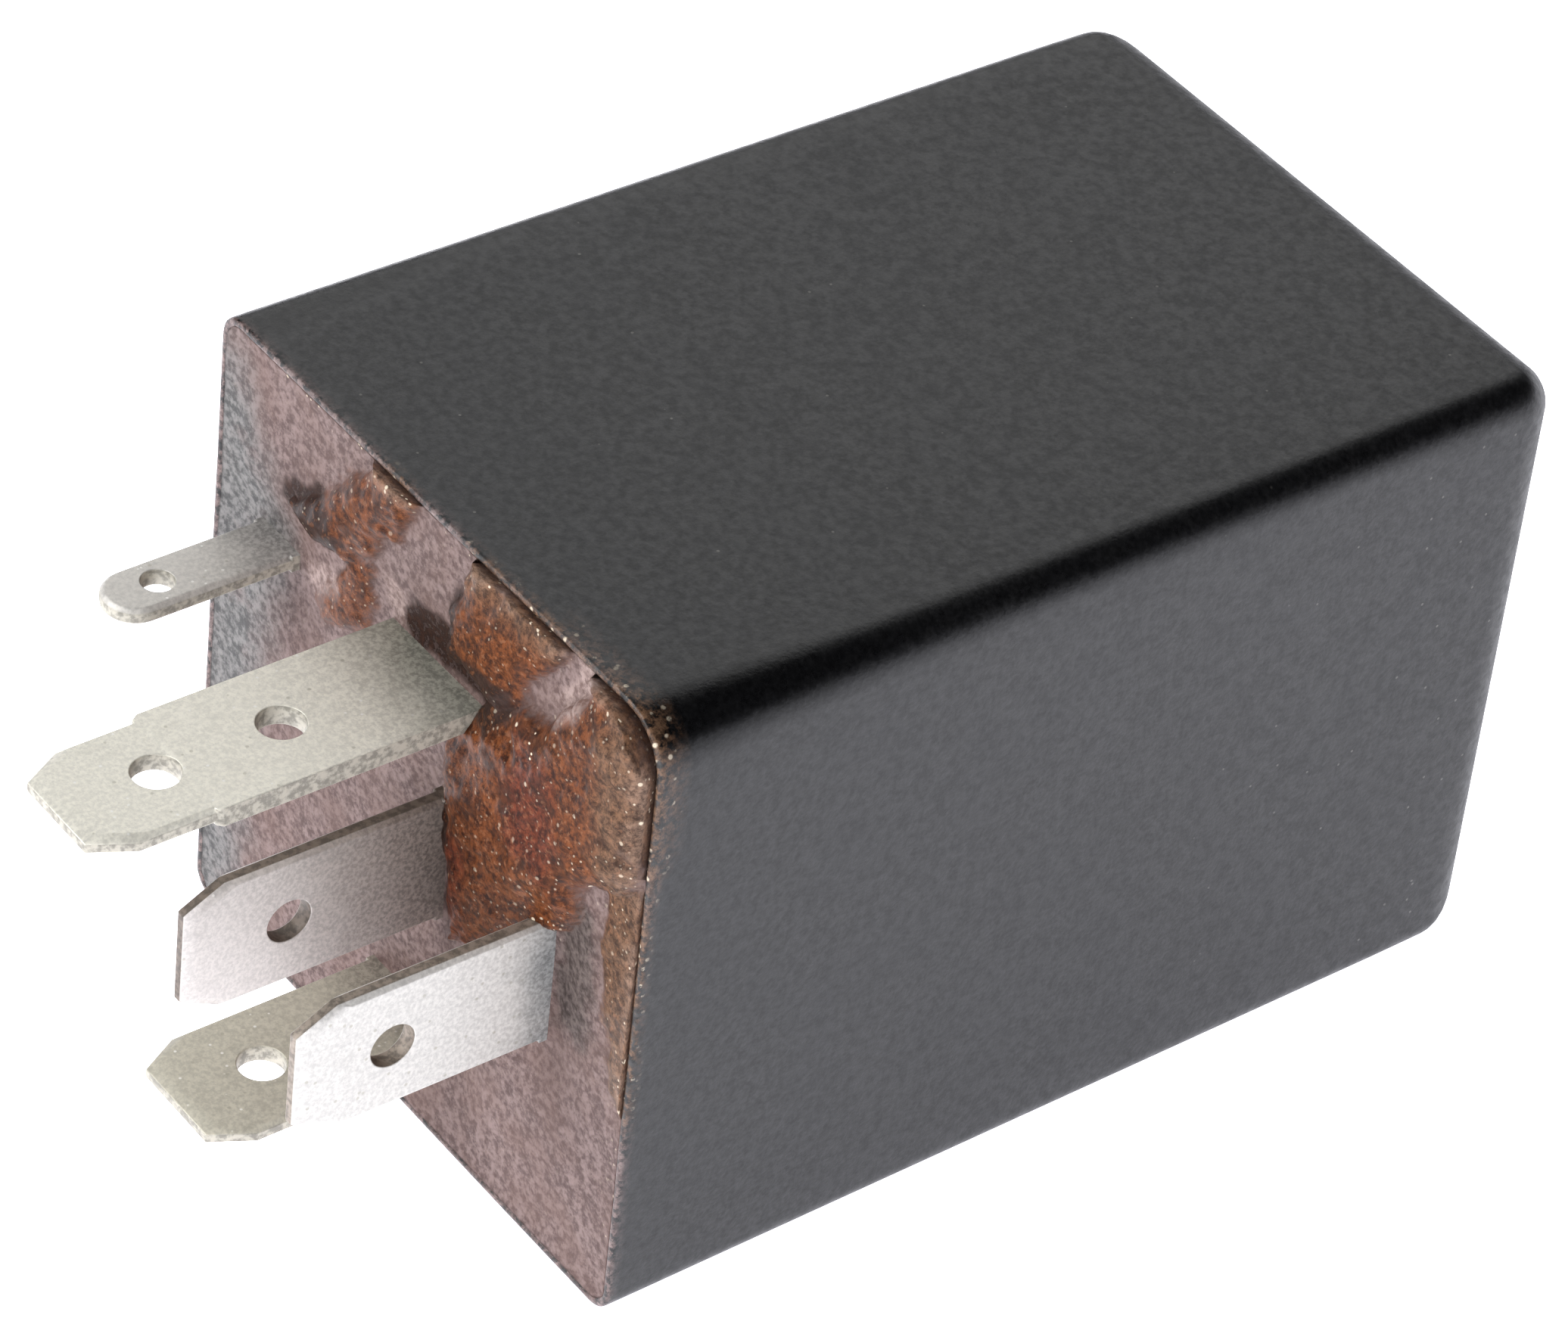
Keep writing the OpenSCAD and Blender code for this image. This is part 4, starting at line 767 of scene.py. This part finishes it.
def build_resin(material):
    """Slab of resin whose front is a fine grid with the poured surface in it, open where the blades pass."""
    cells = 210
    lap = 0.16  # the resin reaches this far into the blades
    line = np.linspace(-1, 1, cells + 1)
    u, v = np.meshgrid(line, line, indexing="ij")
    corner = np.where((u > 0) & (v > 0), SOFT_CORNER, RESIN_CORNER) / RESIN_HALF
    du = np.maximum(np.abs(u) - (1 - corner), 0)
    dv = np.maximum(np.abs(v) - (1 - corner), 0)
    length = np.hypot(du, dv)
    pull = np.where(length > 0, np.maximum(du, dv) / np.where(length > 0, length, 1), 1)
    x = np.sign(u) * (np.minimum(np.abs(u), 1 - corner) + du * pull) * RESIN_HALF
    z = np.sign(v) * (np.minimum(np.abs(v), 1 - corner) + dv * pull) * RESIN_HALF
    proud, fields = resin_fields(x, z)
    y = RESIN_LEVEL - proud
    index = np.arange((cells + 1) ** 2).reshape(cells + 1, cells + 1)
    cx = (x[:-1, :-1] + x[1:, 1:]) / 2
    cz = (z[:-1, :-1] + z[1:, 1:]) / 2
    keep = np.ones(cx.shape, bool)
    for bx, bz, half_x, half_z in blade_sections():
        keep &= (np.abs(cx - bx) > half_x - lap) | (np.abs(cz - bz) > half_z - lap)
    faces = [
        (int(index[i, j]), int(index[i + 1, j]), int(index[i + 1, j + 1]), int(index[i, j + 1]))
        for i, j in zip(*np.nonzero(keep))
    ]
    points = list(zip(x.ravel(), y.ravel(), z.ravel()))
    values = {name: list(field.ravel()) for name, field in fields.items()}
    around = [index[i, 0] for i in range(cells)] + [index[cells, j] for j in range(cells)]
    around += [index[i, cells] for i in range(cells, 0, -1)] + [index[0, j] for j in range(cells, 0, -1)]
    previous = [int(i) for i in around]
    wall_half = HALF - WALL - 0.06
    # The skirt goes down along the cover's chamfer and wall, just clear of both, and closes the back.
    skirt = ((LEAD_IN_DEPTH / 2, RESIN_HALF - 0.36), (0.8, wall_half + 0.02), (RESIN_BACK, wall_half),
             (RESIN_BACK, wall_half * 0.5))
    for depth, half in skirt:
        row = []
        for i in around:
            px, _, pz = points[i]
            row.append(len(points))
            points.append((px * half / RESIN_HALF, depth, pz * half / RESIN_HALF))
            for name in values:
                values[name].append(values[name][i] * 0.5)
        faces += band(previous, row)
        previous = row
    points.append((0.0, RESIN_BACK, 0.0))
    faces += fan(previous, len(points) - 1)
    for key in values:
        values[key].append(0.0)
    obj = add_piece("resin_pour", points, faces, material)
    for key, numbers in values.items():
        add_values(obj, key, numbers)
    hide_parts("potting_resin", "resin_beads")


# -------- magnet, spring and braid


def build_winding(material):
    """The outer layer of turns as one long helix, over a barrel for the turns below it."""
    low, high = box_mm("coil_winding")
    centre = (low + high) / 2
    outer = (high.x - low.x) / 2
    wire = 0.11  # radius
    pitch = 2 * wire + 0.005
    turns = int((high.y - low.y - 2 * wire) / pitch)
    steps = 36
    start = low.y + wire
    path = []
    for i in range(turns * steps + 1):
        a = 2 * math.pi * i / steps
        wander = 0.02 * noise.noise(Vector((math.cos(a), i / steps * 0.37, math.sin(a))))
        radius = outer - wire - 0.02 + wander
        y = start + pitch * i / steps
        path.append((centre.x + radius * math.cos(a), y, centre.z + radius * math.sin(a)))
    turns_shape = tube(path, wire, 6, (1, 0, 0))
    barrel_radius = outer - 2.2 * wire
    barrel = [
        [(centre.x + r * math.cos(a), y, centre.z + r * math.sin(a))
         for a in (k * 2 * math.pi / 64 for k in range(64))]
        for y, r in ((low.y, barrel_radius * 0.6), (low.y, barrel_radius), (centre.y, barrel_radius),
                     (high.y, barrel_radius), (high.y, barrel_radius * 0.6))
    ]
    obj = add_piece("coil_turns", *join([turns_shape, loft(barrel)]), material)
    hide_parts("coil_winding")


def build_spring(material):
    """Return spring: close coils, a hook through the yoke's tab and one through the armature's tail."""
    low, high = box_mm("return_spring")
    wire, radius = 0.16, 0.72  # radius of the wire, and of the coils at its middle
    cad_radius = 0.78  # of the CAD's coils, a little wider than these
    lower_run, upper_run = 2.97, 4.57  # length of each end outside the coils
    x = low.x + cad_radius + wire
    z = (low.z + high.z) / 2
    y0, y1 = low.y + lower_run, high.y - upper_run
    turns, steps = 13, 24
    coil = [
        Vector((x + radius * math.cos(a), y0 + (y1 - y0) * i / (turns * steps), z + radius * math.sin(a)))
        for i, a in ((i, 2 * math.pi * i / steps) for i in range(turns * steps + 1))
    ]
    bottom, top = low.y + wire, high.y - wire
    lower = spline([(x + 0.9, bottom, z), (x + 0.45, bottom + 0.02, z), (x + 0.05, bottom + 0.3, z),
                    (x, bottom + 0.9, z), (x, y0 - 1.2, z), (x + 0.2, y0 - 0.7, z), coil[0]], 6)
    upper = spline([coil[-1], (x + 0.2, y1 + 0.7, z), (x, y1 + 1.2, z), (x, top - 0.9, z),
                    (x + 0.05, top - 0.3, z), (x + 0.45, top - 0.02, z), (x + 0.9, top, z)], 6)
    obj = add_piece("return_spring_wire", *tube(lower[:-1] + coil + upper[1:], wire, 8), material, body=None)
    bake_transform(obj)
    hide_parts("return_spring")


def build_braid(material):
    """Flexible lead: fine copper strands plaited along a smooth path between the two ferrules."""
    supply = middle("supply_ferrule")
    supply_low, supply_high = box_mm("supply_ferrule")
    leaf_low, leaf_high = box_mm("leaf_ferrule")
    ferrule, bore = 1.25, 0.9  # outer radius of both ferrules, and radius of their bores
    x, z = supply.x, supply_high.z - ferrule
    leaf_x, leaf_y = leaf_low.x + ferrule, leaf_high.y - ferrule
    path = spline([
        (x, supply_low.y + 0.3, z), (x, supply.y, z), (x, supply_high.y + 0.3, z), (x + 0.1, 8.8, z),
        (x + 0.4, 13.0, z - 1.2), (x + 0.6, 19.0, z - 4.2), (x - 0.2, 25.0, z - 6.3),
        (leaf_x + 1.6, 29.8, 1.9), (leaf_x + 0.1, leaf_y, leaf_high.z + 0.9), (leaf_x, leaf_y, leaf_high.z),
        (leaf_x, leaf_y, leaf_low.z + 0.1),
    ], 18)
    strand = 0.105  # radius
    reach = bore - 0.05 - 2.2 * strand  # from the lead's middle to its strands
    per_way, lay = 9, 0.72  # strands wound each way, and their turn in radians per mm
    normal = Vector((1, 0, 0))
    frames, run = [], 0.0
    for i, point in enumerate(path):
        tangent = (path[min(i + 1, len(path) - 1)] - path[max(i - 1, 0)]).normalized()
        normal = (normal - tangent * normal.dot(tangent)).normalized()
        if i:
            run += (point - path[i - 1]).length
        frames.append((point, normal.copy(), tangent.cross(normal), run))
    shapes = []
    for way in (1, -1):
        for k in range(per_way):
            line = []
            for point, side, up, at in frames:
                a = way * at * lay + 2 * math.pi * k / per_way
                weave = strand * way * math.sin(at * lay * per_way)
                line.append(point + (reach + weave) * (side * math.cos(a) + up * math.sin(a)))
            shapes.append(tube(line, strand, 5))
    shapes.append(tube(path, reach - 0.05, 12))
    obj = add_piece("flexible_lead", *join(shapes), material, body=None)
    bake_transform(obj)
    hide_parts("contact_braid")


# -------- circuit board tracks

def ribbon(path, width, z, up):
    """Flat track with sloped sides along a path of (x, y) points, standing up off the board."""
    points, faces = [], []
    path = [Vector((px, py)) for px, py in path]
    for i, point in enumerate(path):
        ahead = (path[min(i + 1, len(path) - 1)] - path[max(i - 1, 0)]).normalized()
        side = Vector((-ahead.y, ahead.x))
        for share, lift in ((0.5, 0.0), (0.38, 1.0), (-0.38, 1.0), (-0.5, 0.0)):
            place = point + side * width * share
            points.append((place.x, place.y, z + lift * up))
    for i in range(0, len(points) - 4, 4):
        faces += band(range(i, i + 4), range(i + 4, i + 8))
    faces += [(0, 1, 2, 3), tuple(len(points) - 4 + k for k in range(4))]
    return points, faces


def build_tracks(material):
    """Raised tracks under the solder resist, between the places where leads pass the board."""
    low, high = box_mm("circuit_board")
    chip = middle("timer_chip")
    can = middle("electrolytic_capacitor")
    film = middle("film_capacitor")
    power = middle("power_transistor")
    resistor_low, resistor_high = box_mm("resistors")
    pitch, legs = 2.54, 3.8  # of the chip's legs: spacing, and distance from its middle
    chip_x = [chip.x + pitch * i for i in (-1.5, -0.5, 0.5, 1.5)]
    left, right = resistor_low.x - 1.2, resistor_high.x + 1.2
    row = resistor_low.y + 1.1
    runs = [
        [(chip_x[0], chip.y + legs), (chip_x[0], chip.y + 5.6), (left, row - 2.0), (left, row)],
        [(chip_x[1], chip.y + legs), (chip_x[1], chip.y + 5.0), (right, row - 2.2), (right, row + 3.2)],
        [(chip_x[3], chip.y + legs), (chip_x[3], chip.y + 5.2), (film.x - 1.4, film.y - 2.5),
         (film.x, film.y - 2.5)],
        [(chip_x[3], chip.y - legs), (can.x - 2.8, chip.y - 4.6), (can.x - 1.25, can.y - 1.2),
         (can.x - 1.25, can.y)],
        [(can.x + 1.25, can.y), (can.x + 1.25, can.y - 5.0), (2.6, 9.4)],
        [(chip_x[0], chip.y - legs), (chip_x[0], 11.0), (-7.0, 9.4)],
        [(film.x, film.y + 2.5), (film.x, film.y + 3.9), (power.x, power.y - 5.8)],
        [(left, row + 6.4), (left, row + 8.4), (left + 1.2, row + 9.6)],
        [(right, row + 6.4), (right + 1.2, row + 7.4), (power.x - 2.3, power.y - 5.8)],
        [(power.x + 2.3, power.y - 5.8), (5.4, power.y - 6.4), (5.4, power.y - 9.6)],
    ]
    copper, off_board = 0.045, 0.002
    shapes = []
    for run in runs:
        shapes.append(ribbon(run, 0.85, high.z + off_board, copper))
        shapes.append(ribbon([(px + 0.3, py) for px, py in run], 0.95, low.z - off_board, -copper))
    obj = add_piece("board_tracks", *join(shapes), material, smooth=False)


# -------- finishes on the CAD nodes

def finish_nodes():
    """Gives every CAD node that stays its material, and rounds its sharp edges."""
    iron = plated_metal("plated_iron", (176, 174, 164), 0.38, stain=(150, 128, 76))
    screw = plated_metal("plated_steel", (190, 190, 182), 0.3, 0)
    wire = plated_metal("tinned_wire", (206, 206, 200), 0.26, 2, 0.006)
    copper = plated_metal("ferrule_copper", (196, 122, 78), 0.32, 1, 0.008, (92, 52, 34))
    silver = plated_metal("contact_silver", (214, 208, 194), 0.24, 0, 0.006, (96, 84, 70))
    bronze = plated_metal("spring_bronze", (198, 148, 88), 0.28, 0, 0.006, (120, 82, 48))
    solder = plated_metal("solder_joint", (178, 180, 180), 0.24, 2, 0.02)
    epoxy = moulded("moulded_epoxy", (20, 20, 22), (38, 38, 41), 0.55, 7.0, 0.02)
    nylon = moulded("bobbin_nylon", (196, 188, 164), (226, 219, 198), 0.42, 3.0, 0.01)
    paper = moulded("base_laminate", (84, 48, 32), (122, 76, 52), 0.6, 4.0, 0.03)
    film = moulded("film_case", (120, 22, 18), (158, 34, 26), 0.26, 1.4, 0.02, coat=0.6)
    resistor = banded("resistor_lacquer", "resistors", 0, (196, 164, 116),
                      ((-0.66, 0.07, (92, 52, 28)), (-0.36, 0.06, (24, 22, 22)),
                       (-0.10, 0.06, (178, 58, 34)), (0.62, 0.07, (170, 132, 58))))
    diode = banded("diode_epoxy", "flyback_diode", 1, (34, 34, 37),
                   ((0.68, 0.12, (186, 186, 184)),), 0.45, 0.1)
    zener = banded("zener_glass", "zener_diode", 0, (186, 84, 40), ((0.6, 0.16, (26, 24, 24)),), 0.12, 1.0)
    # Each node's material, and the width of its rounded edges in mm.
    finishes = {f"{name}_terminal": (tinned(f"tinned_{name}", *look), 0.06) for name, look in BLADES.items()}
    finishes |= {
        "base_plate": (paper, 0.12), "frame_screws": (screw, 0.12),
        "yoke": (iron, 0.12), "core": (iron, 0.15),
        "bobbin": (nylon, 0.1), "coil_pins": (wire, 0.05), "coil_leads": (enamelled_copper(), 0.0),
        "armature": (iron, 0.1), "contact_leaf": (bronze, 0.03), "leaf_rivets": (screw, 0.05),
        "moving_contact": (silver, 0.06), "make_contact": (silver, 0.06), "break_contact": (silver, 0.06),
        "leaf_ferrule": (copper, 0.06), "supply_ferrule": (copper, 0.06),
        "circuit_board": (board_laminate(), 0.04), "timer_chip": (epoxy, 0.06),
        "electrolytic_capacitor": (capacitor_sleeve(), 0.0), "film_capacitor": (film, 0.12),
        "power_transistor": (epoxy, 0.06), "resistors": (resistor, 0.0), "flyback_diode": (diode, 0.0),
        "zener_diode": (zener, 0.0), "component_leads": (wire, 0.03), "solder_joints": (solder, 0.0),
    }
    for name, (material, width) in finishes.items():
        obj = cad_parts[name]
        obj.data.materials.clear()
        obj.data.materials.append(material)
        if width:
            bevel(obj, width)


# -------- floor, light and camera

def build_floor():
    """A flat sheet just below the part."""
    size, cells = 3000.0, 12
    row = cells + 1
    z = cad_box[0].z / MM - 0.02
    points = [(size * (i / cells - 0.5), size * (j / cells - 0.5), z) for i in range(row) for j in range(row)]
    faces = [(i * row + j, (i + 1) * row + j, (i + 1) * row + j + 1, i * row + j + 1)
             for i in range(cells) for j in range(cells)]
    floor = add_piece("floor", points, faces, floor_paint(), body=None)


def add_softbox(name, direction, distance, size, power):
    """White area light in a direction from the part's middle, turned to face it. Sizes are in metres."""
    light = bpy.data.lights.new(name, "AREA")
    light.shape = "RECTANGLE"
    light.size, light.size_y = size
    light.energy = power
    obj = bpy.data.objects.new(name, light)
    bpy.context.collection.objects.link(obj)
    away = Vector(direction).normalized()
    obj.location = CENTRE + away * distance
    obj.rotation_mode = "QUATERNION"
    obj.rotation_quaternion = (-away).to_track_quat("-Z", "Y")


def build_light():
    """Three softboxes, and a dim world that the camera sees as white."""
    add_softbox("key", (-0.62, 0.46, 0.63), 0.42, (0.42, 0.36), 0.72)
    add_softbox("front", (-0.30, -0.78, 0.55), 0.45, (0.30, 0.30), 1.7)
    add_softbox("right", (0.72, -0.64, 0.28), 0.45, (0.20, 0.20), 0.9)
    world = bpy.data.worlds.new("studio")
    bpy.context.scene.world = world
    world.use_nodes = True
    tree = world.node_tree
    tree.nodes.clear()
    output = tree.nodes.new("ShaderNodeOutputWorld")
    mix = tree.nodes.new("ShaderNodeMixShader")
    path = tree.nodes.new("ShaderNodeLightPath")
    tree.links.new(path.outputs["Is Camera Ray"], mix.inputs[0])
    dim, white = (0.03, 0.03, 0.032, 1.0), (1.0, 1.0, 1.0, 1.0)
    for slot, colour in ((1, dim), (2, white)):
        background = tree.nodes.new("ShaderNodeBackground")
        background.inputs["Color"].default_value = colour
        tree.links.new(background.outputs[0], mix.inputs[slot])
    tree.links.new(mix.outputs[0], output.inputs[0])


AZIMUTH, ELEVATION, ROLL = 49.68, 39.16, 6.67  # degrees
CAMERA_PLACE = Vector((167.934, -124.512, 179.220))  # mm
LENS_MM, SENSOR_MM = 161.2, 36.0


def build_camera():
    """Looks down on the mouth and the right side from front right, a little rolled."""
    a, e = math.radians(AZIMUTH), math.radians(ELEVATION)
    back = Vector((math.sin(a) * math.cos(e), -math.cos(a) * math.cos(e), math.sin(e)))
    forward = -back
    right = forward.cross(Vector((0, 0, 1))).normalized()
    up = right.cross(forward)
    roll = math.radians(ROLL)
    rolled_right = right * math.cos(roll) + up * math.sin(roll)
    rolled_up = up * math.cos(roll) - right * math.sin(roll)
    data = bpy.data.cameras.new("camera")
    data.lens, data.sensor_width = LENS_MM, SENSOR_MM
    data.clip_start, data.clip_end = 0.01, 10.0
    camera = bpy.data.objects.new("camera", data)
    bpy.context.collection.objects.link(camera)
    turn = Matrix((rolled_right, rolled_up, back)).transposed()
    camera.matrix_world = Matrix.Translation(CAMERA_PLACE * MM) @ turn.to_4x4()
    bpy.context.scene.camera = camera


# -------- the scene

build_cover(cover_plastic())
build_resin(sealing_resin())
build_winding(enamelled_copper())
build_spring(plated_metal("spring_steel", (150, 150, 152), 0.28, 1, 0.006))
build_braid(plated_metal("braid_copper", (190, 108, 66), 0.3, 1, 0.004, (110, 60, 38)))
build_tracks(moulded("track_resist", (22, 78, 42), (36, 108, 60), 0.3, 2.0, 0.005, coat=0.4))
finish_nodes()
build_floor()
build_light()
build_camera()
bpy.context.scene.view_settings.view_transform = "Standard"
